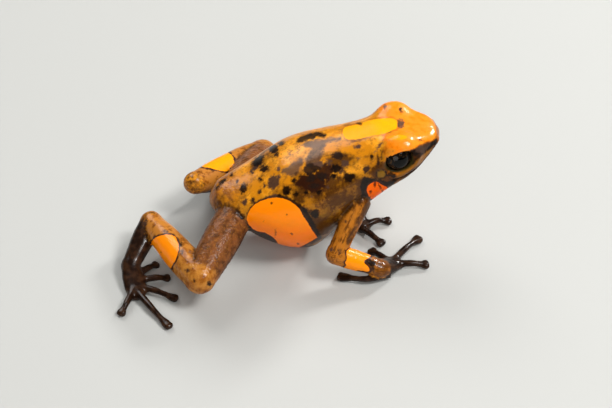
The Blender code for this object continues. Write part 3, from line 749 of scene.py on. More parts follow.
# Painted shade on the side of the snout before the eye, under its ridge, and the ochre stripe along the lip
# under it
SNOUT_SHADE_BAND = [
    (406.5, 151.6), (411.5, 149.8), (417.5, 147.4), (424, 144.8), (429.6, 141.8), (434, 139.4),
    (437.8, 138), (437.8, 142.2), (433.6, 146.4), (428.8, 150.2), (423.4, 154.8), (418, 160), (412.4, 165),
    (408, 166.4), (411, 160), (409.6, 154.4),
]
LIP_STRIPE = [
    (397.5, 177), (402, 171.8), (407.4, 167), (413.4, 162), (419.4, 156.8), (425.6, 152.4), (431, 148.4),
    (433.4, 149.8), (428.5, 154.8), (422, 160.4), (415.6, 165.6), (409, 170.6), (402.6, 175.6),
    (399, 178.4),
]

# Painted shade in the fold between the corner of the jaw, the throat patch and the arm
THROAT_FOLD_SHADE = [
    (363, 177), (370, 177), (378, 179), (386, 181), (393, 179.4), (399, 178), (394, 184.4), (388, 190),
    (384, 187), (377, 183), (371, 184), (368.4, 188), (367.4, 193.5), (369.6, 199.6), (364, 207),
    (359.6, 204), (361.6, 195), (360, 186),
]

# Grey-brown skin with a painted greyish sheen over the orange, on the saddle and behind it
SADDLE_SHEEN = [
    (299, 145), (305, 141), (315.7, 139.6), (325.7, 138.2), (338.6, 136.6), (341, 140.2), (331.4, 142.6),
    (325.3, 146.4), (322, 152.4), (321.5, 159), (319, 166), (308.6, 167.4), (304.9, 160.7), (306.6, 154.7),
    (310.4, 149.4), (307.6, 146.5),
]
REAR_SHEEN = [
    (282.4, 168.6), (288.6, 165.2), (295.7, 160.2), (302.6, 160), (302, 167.1), (299, 173.4),
    (294.3, 176.2), (285.7, 174.8), (282.2, 172.1),
]

# Each dark mark: across, down, half width, half height, turn in degrees, share of black in it, the rest a
# paler grey that is partly painted sheen
DARK_SPOTS = [
    (243.4, 188.4, 3.4, 6.2, 18, 1), (264.3, 168.8, 4.7, 4, -20, 1), (257.9, 161.6, 8.6, 4.2, -47, 1),
    (273.4, 148.8, 5, 5.4, -30, 1), (276.6, 154.6, 2.5, 3.3, 20, 1), (281.4, 143.4, 4, 2.6, -25, 1),
    (273.4, 182.2, 5.8, 7.6, 15, 0.72), (278.6, 177, 2.6, 2.6, 0, 0.7), (260.6, 179.3, 2, 3.5, 12, 1),
    (264.4, 185.8, 1.8, 2.6, 20, 0.8), (259.3, 192, 2.1, 2.9, 15, 0.9), (253, 200.9, 2.7, 3.9, 10, 0.9),
    (244.5, 201.9, 2.5, 3.6, 0, 0.7), (251.8, 172.3, 2, 2.7, 0, 0.85), (286.4, 190.8, 4.5, 5.1, 0, 1),
    (293, 180.7, 2.1, 2.4, 0, 1), (296.1, 194, 2.6, 2.6, 0, 1), (306.8, 192.5, 2.6, 2.2, 10, 1),
    (319.5, 192.5, 2.6, 2.6, 0, 1), (315.2, 213.6, 5, 4.4, 0, 1), (305.2, 210.6, 3, 3.1, 0, 1),
    (311, 178, 4.5, 5, 20, 0.95), (322, 176.5, 4.4, 4.6, 0, 0.95), (314, 185.5, 5, 3.2, 0, 0.95),
    (338.4, 155.5, 6.8, 4, -8, 0.95), (336.4, 168.4, 5.4, 4.7, 0, 1), (333.7, 176.4, 3.9, 3.2, 0, 1),
    (348.8, 177.4, 6, 4.7, -6, 1), (345, 163.6, 3.6, 3.8, 10, 0.7), (325.8, 160.8, 2, 1.5, 0, 0.6),
    (278.6, 168, 1.8, 2.5, 15, 0.6), (329.5, 163.2, 3, 2, -40, 0.7), (341.5, 171.5, 2.2, 3, 30, 0.8),
    (327.5, 187.5, 1.8, 1.4, 0, 0.7), (312, 196.5, 1.4, 1.2, 0, 0.6), (254.6, 167.6, 3, 3, 0, 0.8),
    (237.5, 181.6, 1.7, 2.4, 10, 0.7), (238.3, 213.6, 3.4, 2.6, 25, 0.9), (242.2, 216.6, 3.4, 2.6, 50, 1),
    (290.5, 154.5, 1.4, 1.2, 0, 0.5), (385.1, 106.5, 2.1, 2.4, 10, 0.4),
    (400.8, 109.5, 1.6, 2.6, -10, 0.9), (400.8, 123.7, 3.9, 4.6, 8, 0.45), (389, 131.9, 2.3, 0.9, 0, 0.8),
    (359.9, 124, 2.7, 1.3, 10, 0.8), (357.2, 146.6, 3.9, 2.6, -15, 0.65),
    (379.6, 145.6, 1.6, 6.4, 38, 0.55), (371.5, 156.4, 2.1, 3.1, 10, 1), (366.6, 169.2, 3.6, 4.1, 0, 0.85),
    (358.6, 158, 1.4, 1.1, 0, 0.6), (381.7, 156.5, 1.1, 4.6, -8, 0.9), (391.2, 174.8, 6, 3, 8, 1),
    (378, 165.5, 1.3, 6, 12, 0.9), (379.6, 181, 6, 1.3, 12, 1), (420.3, 139.8, 1.7, 1.2, 0, 0.8),
    (392.8, 151.4, 1, 0.9, 0, 0.9), (144.6, 222.8, 3, 3.6, 30, 0.75), (166, 231.2, 2.4, 1.4, 25, 0.8),
    (179.6, 244.6, 2.9, 2.9, 0, 1), (181.5, 252, 1.6, 3, 0, 0.8), (190, 252, 1.2, 0.9, 10, 0.3),
    (187.4, 270.4, 2.3, 1.9, 0, 0.8), (194, 281.5, 1.5, 2.2, 20, 0.9), (209.3, 284, 2.6, 2.4, -30, 1),
    (331.5, 249.5, 2.6, 2, 0, 0.6), (339.5, 252.5, 2, 2.4, 0, 0.85), (345, 222, 2.2, 1.6, -30, 0.8),
    (371.5, 262.8, 5.4, 3.4, 35, 1), (366.8, 261.2, 2.6, 3, 0, 1), (372.5, 268.6, 2.8, 2.6, 0, 0.9),
    # The last two marks, by the far shank, are painted shadow in the gap between it and the rump
    (379, 265.5, 1.8, 2, 0, 0.6), (231.5, 175, 1.8, 2.8, 20, 1), (222.4, 182, 5.5, 2.4, -42, 1),
    (217.4, 187, 4, 2, -50, 0.9),
]

# Each small dark speck on the bright patches, in the same measures
PATCH_SPECKS = [
    (271.8, 203, 1.1, 1.2, 0, 0.9), (292, 233.8, 1.2, 0.9, 0, 0.8), (275.4, 233, 0.8, 3, 8, 0.9),
    (298, 243.8, 1.1, 1, 0, 0.8), (374.6, 184.6, 1.1, 3, 8, 1), (379.8, 186.8, 1, 3, -25, 0.9),
    (370.6, 192, 1.3, 1.6, 0, 0.8), (382.8, 191.4, 1, 2.2, -30, 0.8), (376, 198, 2.6, 1.2, 20, 0.7),
    (264, 221, 0.7, 0.7, 0, 0.6), (287, 215, 0.6, 0.7, 0, 0.6), (359.8, 124, 2.7, 1.3, 10, 0.6),
    (161, 252, 0.7, 0.8, 0, 0.6),
]

# Each broad cloud of brown, in the same measures: partly brown pigment in the skin, partly painted shade in
# the folds by the arm and throat, low on the flank and round the face
BROWN_AND_SHADE_CLOUDS = [
    (346, 190, 14, 7, -12, 0.6), (332, 216, 12, 12, 30, 0.4), (322, 202, 15, 8, 20, 0.5),
    (323, 224, 18, 9, -10, 0.6), (306, 193, 16, 7, 5, 0.65), (270, 196, 13, 5, -15, 0.3),
    (337, 164, 13, 12, -20, 0.65), (314, 184, 23, 11, -5, 0.8), (358, 178, 10, 8, 0, 0.25),
    (371, 174, 6, 11, 10, 0.4), (368, 190, 7, 9, 0, 0.85), (331, 186, 9, 9, 0, 0.6),
    (383, 182, 12, 6, -25, 0.9), (421, 149.2, 12.5, 4.6, -29, 1), (433, 145, 6, 4.5, -25, 0.85),
    (384, 150, 4, 5, 35, 0.3), (352, 161, 7, 9, 0, 0.5), (366, 159, 7, 7, 0, 0.2),
    (264, 158, 15, 8, -45, 0.5), (246, 186, 8, 14, 20, 0.3), (314, 158, 14, 12, -30, 0.45),
    (359, 199, 5, 7, 0, 0.85), (367.5, 208, 4.6, 13, 18, 1), (300, 178, 9, 8, 0, 0.5),
    (374, 201, 4, 8, 25, 0.9), (338, 182, 8, 6, 0, 0.7), (358, 222, 3.5, 12, 25, 0.8),
    (350, 238, 3.5, 10, 22, 0.7), (378, 160, 1.6, 8, 0, 0.9), (376, 172, 1.8, 8, 12, 0.9),
    (386, 172, 2, 7, -20, 0.6), (411, 172, 14, 2, -38, 0.8), (221, 203, 9, 10, 10, 0.6),
    (236, 205, 7, 9, 0, 0.45), (262, 240, 20, 12, 20, 1), (348, 205, 4.6, 12, 25, 1),
    (350, 141, 8, 2.4, 5, 0.3), (338, 200, 12, 6.5, -20, 0.9), (320, 231, 15, 6, -22, 1),
    (315, 221, 6, 12, -28, 0.9), (338, 160, 11, 8, -15, 0.9), (384, 168, 6, 6, 0, 0.9),
    (370, 184, 8, 5, 0, 1), (350, 180, 10, 6, -10, 0.8), (371, 199, 6, 7, 20, 1),
    (299, 199, 8, 4, 25, 0.9), (331, 195, 6, 4, 0, 0.9), (284, 192, 8, 5, -10, 0.5),
    (256, 164, 9, 6, -45, 0.7), (361, 187, 5, 9, 10, 1), (377, 171, 5, 9, 15, 0.7),
]

# Outlines: steps along each side, how far from an edge its distance is followed, how far past
# the body's far edge a patch runs, and how fast it ends there and off its own piece
ROUND_STEPS = 5
EDGE_REACH = 1.6
PAST_EDGE = 0.55
SIGHT_SLOPE = 4.0
PIECE_SLOPE = 2.0

# How far over a form's edge its piece still holds, and the least hold of the trunk
COVER_REACH = 0.3
TRUNK_HOLD = 0.001

# Where the left side is hidden from the picture: how far it faces away, and mm left of the middle
HIDDEN_FACING = 0.2
HIDDEN_EASE = 0.3
HIDDEN_START = 0.5

# Spots and clouds: the least share worked out, how far round a mark, and the softness of a cloud
LEAST_SHARE = 0.02
MARK_REACH = 1.3
MARK_REACH_SIZES = 2.4
CLOUD_SPREAD = 1.4

# How far a mirrored mark strays, and how fast and from where each axis of its straying waves
WANDER = 0.7
WANDER_RATES = (0.9, 0.7, 0.8)
WANDER_STARTS = (0.0, 1.0, math.pi / 2)

# The belly's spots: how many, over which stretch each way, their sizes and their stretch
BELLY_SPOTS = 26
BELLY_SPAN = ((-10.0, 12.0), (-5.5, 5.5))
BELLY_SPOT_SIZES = (0.5, 1.3)
BELLY_SPOT_STRETCH = 1.2
BELLY_STEEPNESS = 1.6
BELLY_START = 0.35
BELLY_SPOT_START = 0.35

# Each bright patch: its outline, its piece, whether the hidden left side shows it too, how far
# past the far edge it runs, its yellowness and how dark the line round it is
PATCHES = {
    "flank": (FLANK_PATCH, "trunk", True, PAST_EDGE, 0.22, 0.35),
    "crown": (CROWN_PATCH, "trunk", False, 0.0, 0.8, 0.3),
    "lid": (LID_PATCH, "trunk", True, PAST_EDGE, 0.6, 0.0),
    "throat": (THROAT_PATCH, "trunk", True, PAST_EDGE, -1.0, 0.8),
    "shank": (SHANK_PATCH, "shank_right", False, PAST_EDGE, 0.3, 1.0),
    "far_shank": (FAR_SHANK_PATCH, "shank_left", False, PAST_EDGE, 0.65, 1.0),
    "forearm": (FOREARM_PATCH, "forearm_right", False, PAST_EDGE, 0.4, 1.0),
}

# The lid's patch is set in a little, and the flank's turns redder from a height down
LID_PATCH_INSET = 0.1
FLANK_REDDENING = 0.62
REDDENING_TOP = 9.0
REDDENING_DEPTH = 6.0

# Where each tone of the limbs starts and is full, as shares of a piece's length
PALM_DARK = (-0.25, 0.45)
THIGH_END = (0.8, 1.05)
THIGH_END_FADE = 0.7
# The way that the thigh's painted shade faces: darker on its forward, lower side
THIGH_SHADE_WAY = (0.85, 0.1, -0.5)
KNEE_SPANS = {"right": (0.05, 0.5), "left": (0.05, 0.12)}
WRIST_SPAN = (0.72, 1.0)
LIMB_ROUND = 1.3

# Where each tone of the trunk starts and is full: downward slopes of the skin, and mm along the
# body or below the line of the mouth
FLANK_SLOPES = (-0.88, -0.25)
LOW_FLANK_SLOPES = (-0.45, 0.25)
LOW_FLANK_SPAN = (-10.0, -4.0)
# The snout's side under its ridge and the cheek take painted shade
SNOUT_SPAN = (12.2, 13.8)
SNOUT_DEPTHS = (-1.75, -1.1)
CHEEK_SPAN = (9.0, 10.5)
CHEEK_DEPTHS = (-1.0, -0.5)
# The jaw below the mouth takes a band of painted shade
JAW_SPAN = (9.2, 11.0)
JAW_DEPTHS = (-0.05, 0.25)
RUMP_SPAN = (8.0, 11.0)
HEAD_SPAN = (8.0, 11.5)

# How strong the granules are on each part, against those of the thighs
GRANULAR = {"arm": 0.5, "rump": 0.6, "knee": 0.5, "trunk": 0.12}

# Painted shade as dark lines in the folds of the mouth, round the eardrums and in the nostrils, and the dark
# rim of the lids: their own olive edge, with painted shade that widens below the eye
MOUTH_LINE_WIDTH = 0.3
MOUTH_LINE_STRENGTH = 1.3
MOUTH_LINE_SPAN = (9.6, 11.0)
EARDRUM_LINE_WIDTH = 0.17
EARDRUM_INNER = 0.8
NOSTRIL_DARK = (-0.36, -0.16)
UNDER_EYE_START = 0.6
RIM_WIDTH = 0.14
RIM_WIDER_BELOW = 0.4
RIM_FADE = (-1.0, -0.3)

# How far the wet look goes or grows on each part, and where the far lid and snout top lie
WET_LOSSES = {"matt": 0.9, "far_lid": 0.85, "thigh": 0.55}
WET_SNOUT_GAIN = 0.7
MATT_EDGE = (-0.15, 0.15)
FAR_LID_BOX = ((11.0, 12.5), (0.8, 1.8), (17.8, 18.4))
SNOUT_TOP_BOX = ((11.2, 12.6), (16.6, 17.4))

# Pairs of pieces that meet in a crease, the width of its shadow line, and how far from the
# second piece's first joint it starts, in mm
CREASES = [("trunk", "upper_arm_right", 0.3, 0.0), ("trunk", "upper_arm_left", 0.3, 0.0),
           ("trunk", "thigh_right", 0.2, 0.0), ("trunk", "thigh_left", 0.55, 0.0),
           ("thigh_right", "shank_right", 0.2, 2.4), ("thigh_left", "shank_left", 0.2, 2.4),
           ("shank_right", "tarsus_right", 0.2, 1.9), ("upper_arm_right", "forearm_right", 0.15, 1.7)]

# How soon a crease is full, how near both pieces have to be, and how deep it is pressed in
CREASE_START_EASE = 0.4
CREASE_REACH = 0.5
CREASE_DEPTH = 0.14


def closed_curve(corners):
    """A smooth closed line through corners; a corner given twice stays sharp."""
    corners = np.array(corners, float)
    rows = np.vstack([corners[-1], corners, corners[:2]])
    return np.vstack([curve_between(*four, ROUND_STEPS) for four in zip(rows, rows[1:], rows[2:], rows[3:])])


def inside_distance(places, corners):
    """How far picture places are inside a closed line through corners, in mm at the frog."""
    line = closed_curve(corners)
    ends = np.roll(line, -1, axis=0)
    reach = EDGE_REACH * PIXELS_PER_MM
    close = np.flatnonzero(np.all((places > line.min(0) - reach) & (places < line.max(0) + reach), axis=1))
    near = places[close]
    nearest = np.full(len(near), np.inf)
    inside = np.zeros(len(near), bool)
    for start, end in zip(line, ends):
        way = end - start
        length = way @ way
        if length < 1e-9:
            continue
        offset = near - start
        share = np.clip((offset @ way) / length, 0.0, 1.0)
        nearest = np.minimum(nearest, np.linalg.norm(offset - share[:, None] * way, axis=1))
        crosses = (start[1] > near[:, 1]) != (end[1] > near[:, 1])
        rise = way[1] if way[1] != 0 else 1e-12
        inside ^= crosses & (near[:, 0] < start[0] + way[0] * (near[:, 1] - start[1]) / rise)
    distance = np.full(len(places), -EDGE_REACH)
    distance[close] = np.where(inside, nearest, -nearest) / PIXELS_PER_MM
    return distance


def covers(name):
    """How surely each point of the skin lies over that piece of the animal, from 0 to 1."""
    values, low = forms[name]
    cell = np.round(points / CELL).astype(int) - low
    known = np.all((cell >= 0) & (cell < values.shape), axis=1)
    cell = np.where(known[:, None], cell, 0)
    distance = np.where(known, values[cell[:, 0], cell[:, 1], cell[:, 2]], FAR)
    return np.exp(-np.maximum(distance, 0.0) / COVER_REACH) * (distance < NEARLY_FAR), distance


def ramp(values, start, end):
    """A smooth step from 0 at start to 1 at end."""
    share = np.clip((values - start) / (end - start), 0.0, 1.0)
    return share * share * (3.0 - 2.0 * share)


normals = normals_of(skin_mesh)
over = {}
form_distance = {}
for name in forms:
    over[name], form_distance[name] = covers(name)
over["trunk"] += TRUNK_HOLD
total = sum(over.values())
over = {name: share / total for name, share in over.items()}
trunk = over["trunk"]
ahead, leftward, high = points.T
facing = normals @ camera_back
hidden_left = np.clip((HIDDEN_FACING - facing) / HIDDEN_EASE, 0.0, 1.0) * (leftward > HIDDEN_START) * trunk
wander = np.sin(np.stack([high, ahead, ahead], 1) * WANDER_RATES + WANDER_STARTS)
mirrored = points * (1.0, -1.0, 1.0) + wander * WANDER
picture_places = in_picture(points)
mirrored_places = in_picture(mirrored)


def patch_on(corners, piece="trunk", mirror=True, past_edge=PAST_EDGE):
    """A patch's inside distance, kept to the named piece and to just past the far edge."""
    distance = inside_distance(picture_places, corners)
    if mirror:
        distance = distance * (1.0 - hidden_left) + inside_distance(mirrored_places, corners) * hidden_left
    distance = np.minimum(distance, (over[piece] - 0.5) * PIECE_SLOPE)
    in_sight = facing + past_edge + (hidden_left if mirror else 0.0)
    return np.clip(np.minimum(distance, in_sight * SIGHT_SLOPE), -EDGE_REACH, EDGE_REACH)


def oval_distance(places, mark):
    """How far picture places are inside a turned oval mark, in mm, and how deep as a share."""
    across, down, half_width, half_height = mark[:4]
    turn = math.radians(mark[4])
    offset = places - (across, down)
    along = (offset[:, 0] * math.cos(turn) + offset[:, 1] * math.sin(turn)) / half_width
    beside = (offset[:, 1] * math.cos(turn) - offset[:, 0] * math.sin(turn)) / half_height
    oval = np.hypot(along, beside)
    return (1.0 - oval) * min(half_width, half_height) / PIXELS_PER_MM, oval


skin_tree = BVHTree.FromPolygons([Vector(place) for place in points],
                                 [face.vertices[:] for face in skin_mesh.polygons])


def seen_place(across, down):
    """The place on the skin that the picture shows at a pixel."""
    way = (-camera_back * FOCAL_PIXELS + camera_right * (across - PICTURE_SIZE[0] / 2)
           - camera_up * (down - PICTURE_SIZE[1] / 2))
    hit = skin_tree.ray_cast(Vector(camera_place), Vector(way / np.linalg.norm(way)))[0]
    return None if hit is None else np.array(hit)


spot = np.full(len(points), -EDGE_REACH)
spot_sheen = np.zeros(len(points))
speck = np.full(len(points), -EDGE_REACH)
cloud = np.zeros(len(points))
for marks, kind in ((DARK_SPOTS, "spot"), (PATCH_SPECKS, "speck"), (BROWN_AND_SHADE_CLOUDS, "cloud")):
    for mark in marks:
        place = seen_place(mark[0], mark[1])
        if place is None:
            continue
        reach = MARK_REACH + MARK_REACH_SIZES * max(mark[2:4]) / PIXELS_PER_MM
        for places, where, share in ((picture_places, points, 1.0 - hidden_left),
                                     (mirrored_places, mirrored, hidden_left)):
            near = np.flatnonzero((np.linalg.norm(where - place, axis=1) < reach) & (share > LEAST_SHARE))
            distance, oval = oval_distance(places[near], mark)
            value = np.clip(distance, -EDGE_REACH, EDGE_REACH) * share[near]
            value -= EDGE_REACH * (1.0 - share[near])
            if kind == "speck":
                speck[near] = np.maximum(speck[near], value)
            elif kind == "spot":
                spot_sheen[near] = np.where(value > spot[near], 1.0 - mark[5], spot_sheen[near])
                spot[near] = np.maximum(spot[near], value)
            else:
                value = mark[5] * ramp(CLOUD_SPREAD - oval, 0.0, 1.0) * share[near]
                cloud[near] = 1.0 - (1.0 - cloud[near]) * (1.0 - value)

belly_rng = np.random.default_rng(7)
belly = np.clip(-normals[:, 2] * BELLY_STEEPNESS - BELLY_START, 0.0, 1.0) * trunk
for count in range(BELLY_SPOTS):
    middle = [belly_rng.uniform(*span) for span in BELLY_SPAN]
    size = belly_rng.uniform(*BELLY_SPOT_SIZES)
    distance = size - np.hypot(ahead - middle[0], (leftward - middle[1]) * BELLY_SPOT_STRETCH)
    distance = np.where(belly > BELLY_SPOT_START, distance, -EDGE_REACH)
    spot = np.maximum(spot, np.clip(distance, -EDGE_REACH, EDGE_REACH))

patches = {name: patch_on(*look[:4]) for name, look in PATCHES.items()}
patches["lid"] -= LID_PATCH_INSET
patch = np.max(list(patches.values()), axis=0)
nearest_patch = np.argmax(list(patches.values()), axis=0)
yellow, edge_dark = np.array([look[4:] for look in PATCHES.values()])[nearest_patch].T
reddened = np.clip((REDDENING_TOP - high) / REDDENING_DEPTH, 0.0, 1.0) * (nearest_patch == 0)
yellow = yellow - FLANK_REDDENING * reddened
# Painted shade on the snout's side under its ridge
snout_shade = patch_on(SNOUT_SHADE_BAND)
# Dark borders of pigment, joined with the painted shade of the snout's side and of the throat's fold
dark_border_and_shade = np.max([patch_on(FLANK_BORDER), patch_on(BACK_BAND, mirror=False, past_edge=0.0),
                 patch_on(SADDLE_DARK), snout_shade, patch_on(THROAT_FOLD_SHADE)], axis=0)
lip_stripe = patch_on(LIP_STRIPE)
cluster = patch_on(RED_CLUSTER)
# Painted sheen: a grey-brown film over the saddle and behind it
painted_sheen = np.maximum(patch_on(SADDLE_SHEEN, mirror=False, past_edge=0.0), patch_on(REAR_SHEEN))


def over_pieces(*words):
    """How surely each point lies over those pieces of either side."""
    return sum(over[word + "_" + side] for side in SIDES for word in words)


def over_part(name, start, end):
    """How surely each point lies over a limb piece, from nothing at one share of its length to all."""
    first, last = limb_lines[name]
    way = last - first
    return over[name] * ramp((points - first) @ way / (way @ way), start, end)


limb_along = np.zeros(len(points))
limb_round = np.zeros(len(points))
for name, (start, end) in limb_lines.items():
    side_way, up_way = ways_across(end - start)
    offset = points - start
    turn = np.arctan2(offset @ up_way, offset @ side_way)
    chosen = over[name] > 0.5
    limb_along[chosen] = (offset @ unit(end - start))[chosen]
    limb_round[chosen] = (np.abs(turn) * LIMB_ROUND)[chosen]
dark = over_pieces("tarsus", "foot", "toes", "fingers")
dark = dark + sum(over_part("palm_" + side, *PALM_DARK) for side in SIDES)
thigh = over_pieces("thigh") - THIGH_END_FADE * sum(over_part("thigh_" + side, *THIGH_END) for side in SIDES)
# Painted shade on the thigh's forward, lower side
thigh_shade = np.clip(normals @ THIGH_SHADE_WAY, 0.0, 1.0) * thigh
shank = over_pieces("shank", "thigh")
knee = shank - sum(over_part("shank_" + side, *KNEE_SPANS[side]) for side in SIDES)
arm = over_pieces("upper_arm", "forearm", "palm")
wrist = over_pieces("palm") + sum(over_part("forearm_" + side, *WRIST_SPAN) for side in SIDES)

flank = trunk * ramp(-normals[:, 2], *FLANK_SLOPES)
low_flank = trunk * ramp(-normals[:, 2], *LOW_FLANK_SLOPES) * ramp(-ahead, *LOW_FLANK_SPAN)
under_mouth = np.interp(ahead, trunk_rows[:, 0], trunk_rows[:, 1]) - high
# Painted shade on the snout's side under its ridge and on the cheek
face_shade = trunk * np.maximum(ramp(ahead, *SNOUT_SPAN) * ramp(under_mouth, *SNOUT_DEPTHS),
                               ramp(ahead, *CHEEK_SPAN) * ramp(under_mouth, *CHEEK_DEPTHS))
# Painted shade along the jaw below the mouth
jaw_shade = trunk * ramp(ahead, *JAW_SPAN) * ramp(under_mouth, *JAW_DEPTHS)
rump = trunk * ramp(-ahead, *RUMP_SPAN)
head = trunk * ramp(ahead, *HEAD_SPAN)
granules = thigh + sum(GRANULAR[name] * share for name, share in (("arm", arm), ("rump", rump),
                                                                  ("knee", knee), ("trunk", trunk)))
granules = np.clip(granules, 0.0, 1.0)

# The crease line presses the skin in and also carries painted shade along each join
crease = np.zeros(len(points))
for first, second, width, start in CREASES:
    both = np.maximum(form_distance[first], form_distance[second])
    apart = form_distance[first] - form_distance[second]
    from_joint = np.linalg.norm(points - limb_lines[second][0], axis=1)
    line_here = groove(apart, width) * (both < CREASE_REACH)
    line_here *= np.clip((from_joint - start) / CREASE_START_EASE, 0.0, 1.0)
    crease = np.maximum(crease, line_here)
# Painted shade in the mouth's groove, round the eardrums and in the nostrils
mouth_dark = np.clip(groove(mouth_distance, MOUTH_LINE_WIDTH) * MOUTH_LINE_STRENGTH, 0.0, 1.0)
line = np.max([mouth_dark * ramp(ahead, *MOUTH_LINE_SPAN),
               groove(eardrum_distance - EARDRUM_RADIUS, EARDRUM_LINE_WIDTH) * trunk,
               ramp(-nostril_distance, *NOSTRIL_DARK)], axis=0)
eardrum = ramp(-eardrum_distance, -EARDRUM_RADIUS, -EARDRUM_INNER * EARDRUM_RADIUS)
under_eye = 1.0 - np.clip((high - EYE_PLACE[2] + UNDER_EYE_START) / EYE_RADIUS, 0.0, 1.0)
# The lids' rim: their own olive edge, with painted shade that widens below the eye
rim = ramp(-lid_distance / (RIM_WIDTH + RIM_WIDER_BELOW * under_eye), *RIM_FADE)

far_lid = trunk * np.prod([ramp(axis, *span) for axis, span in zip(points.T, FAR_LID_BOX)], axis=0)
snout_top = trunk * np.prod([ramp(axis, *span) for axis, span in zip((ahead, high), SNOUT_TOP_BOX)], axis=0)
matt = ramp(np.max([patches["crown"], patches["throat"], snout_shade], axis=0), *MATT_EDGE)
wet = 1.0 + WET_SNOUT_GAIN * snout_top
for name, share in (("matt", matt), ("far_lid", far_lid), ("thigh", thigh)):
    wet = wet * (1.0 - WET_LOSSES[name] * share)


def set_marks(mesh, marks):
    """Stores each mark's values on the mesh's points, under the mark's name."""
    for name, values in marks.items():
        attribute = mesh.attributes.new(name, "FLOAT", "POINT")
        attribute.data.foreach_set("value", np.ascontiguousarray(values, np.float32))


def add_object(name, data):
    """Adds an object with that data to the scene."""
    thing = bpy.data.objects.new(name, data)
    bpy.context.scene.collection.objects.link(thing)
    return thing


skin_marks = {
    "limb_along": limb_along, "limb_round": limb_round, "spot_sheen": spot_sheen, "face_shade": face_shade,
    "wrist": wrist, "jaw_shade": jaw_shade, "eardrum": eardrum, "patch": patch, "yellow": yellow, "dark_border_and_shade": dark_border_and_shade,
    "edge_dark": edge_dark, "spot": spot, "cluster": cluster, "painted_sheen": painted_sheen, "cloud": cloud, "dark": dark,
    "thigh": thigh, "shank": shank, "knee": knee, "arm": arm, "flank": flank, "low_flank": low_flank,
    "belly": belly, "head": head, "rump": rump, "crease": crease, "granules": granules, "line": line,
    "rim": rim, "lip_stripe": lip_stripe, "wet": wet, "speck": speck, "thigh_shade": thigh_shade,
}
set_marks(skin_mesh, skin_marks)
pressed = points - normals * (CREASE_DEPTH * crease)[:, None]
set_points(skin_mesh, (pressed.astype(np.float32) + OWN_ORIGIN) * MM)
skin_mesh.shade_smooth()
skin = add_object("skin", skin_mesh)


# Finish of the skin
# Thin, moist skin with pigment under a clear film of slime: ochre and orange mottled with
# brown, near-black spots, and glossy highlights broken up by the fine grain of the skin. Some
# layers are painted shade in the creases, folds, mouth and nostrils, on the snout's side and jaw, and a
# painted greyish sheen lies on the back.
def colour(code):
    """A colour written as an sRGB hex value, as the renderer's linear values."""
    levels = [int(code[index:index + 2], 16) / 255.0 for index in (1, 3, 5)]
    linear = [level / 12.92 if level <= 0.04045 else ((level + 0.055) / 1.055) ** 2.4 for level in levels]
    return (*linear, 1.0)


def add_node(tree, kind, settings, inputs):
    """Adds a node, with its settings, and its inputs as values or as links from other nodes."""
    node = tree.nodes.new(kind)
    for name, value in settings.items():
        setattr(node, name, value)
    for name, value in inputs.items():
        if isinstance(value, bpy.types.NodeSocket):
            tree.links.new(value, node.inputs[name])
        else:
            node.inputs[name].default_value = value
    return node


BACK_GOLD = colour("#EE9C20")
BACK_OCHRE = colour("#C67A0C")
FLANK_OCHRE = colour("#9C620E")
LOW_FLANK_BROWN = colour("#785008")
HEAD_ORANGE = colour("#EE7E06")
HEAD_GOLD = colour("#E2861C")
BROWN_NET = colour("#6C3C0A")
CLOUD_BROWN_AND_SHADE = colour("#3E2004")
SHEEN_GREY_BROWN = colour("#4A382E")
CLUSTER_RED = colour("#2A1006")
RUMP_BROWN = colour("#8E5420")
THIGH_BROWN = colour("#7E4A24")
THIGH_DARK = colour("#361C0A")
SHANK_OCHRE = colour("#B4722A")
SHANK_BROWN = colour("#8E5012")
ARM_BROWN = colour("#AE681C")
ARM_DARK = colour("#4E2806")
BELLY_BROWN = colour("#4A3010")
CREASE_SHADE_BROWN = colour("#241305")
SPOT_BLACK = colour("#0B0503")
SPOT_BROWN = colour("#180C05")
SPOT_SHEEN_GREY = colour("#7A5644")
FACE_SHADE_BROWN = colour("#7C4606")
JAW_SHADE_BROWN = colour("#4A2804")
PATCH_RED = colour("#F46000")
LIMB_BLACK = colour("#1C0E07")
LIMB_BROWN = colour("#352012")
PATCH_ORANGE = colour("#FF7A00")
PATCH_YELLOW = colour("#FFA800")
EDGE_BROWN = colour("#3A2014")
RIM_OLIVE_AND_SHADE = colour("#2A240C")
EARDRUM_OLIVE = colour("#7A5610")
LIP_OCHRE = colour("#7E4E0A")
SHANK_TAN = colour("#B0732C")

# The shader's own values: a moist skin, with a thin soft glow through it
SKIN_SHINE = {"IOR": 1.4, "Specular IOR Level": 0.1, "Coat Roughness": 0.15, "Subsurface Weight": 0.06,
              "Subsurface Radius": (1.0, 0.35, 0.15), "Subsurface Scale": 0.0006}
COAT_WEIGHT = 0.34
SKIN_ROUGHNESS = (0.34, 0.48)
NOISE_ROUGHNESS = 0.55

# Each layer of fine relief: its strength and its height in m, and for cells their size in mm
# and how softly they meet
GRANULE_BUMP = (0.6, 0.00008)
GRANULE_CELLS = (0.3, 0.5)
GRAIN_BUMP = (0.35, 0.00002)
GRAIN_CELLS = (0.16, 0.6)
PORE_BUMP = (0.5, 0.00004)

# How closely the arm's streaks lie along the limb and round it
STREAKS_ALONG = 0.6
STREAKS_ROUND = 3.0

skin_finish = bpy.data.materials.new("moist_pigmented_skin")
skin_finish.use_nodes = True
tree = skin_finish.node_tree
shader = tree.nodes["Principled BSDF"]
place = add_node(tree, "ShaderNodeTexCoord", {}, {}).outputs["Object"]


def stored(name):
    """A mark's values, as stored on the mesh's points."""
    return add_node(tree, "ShaderNodeAttribute", {"attribute_name": name}, {}).outputs["Fac"]


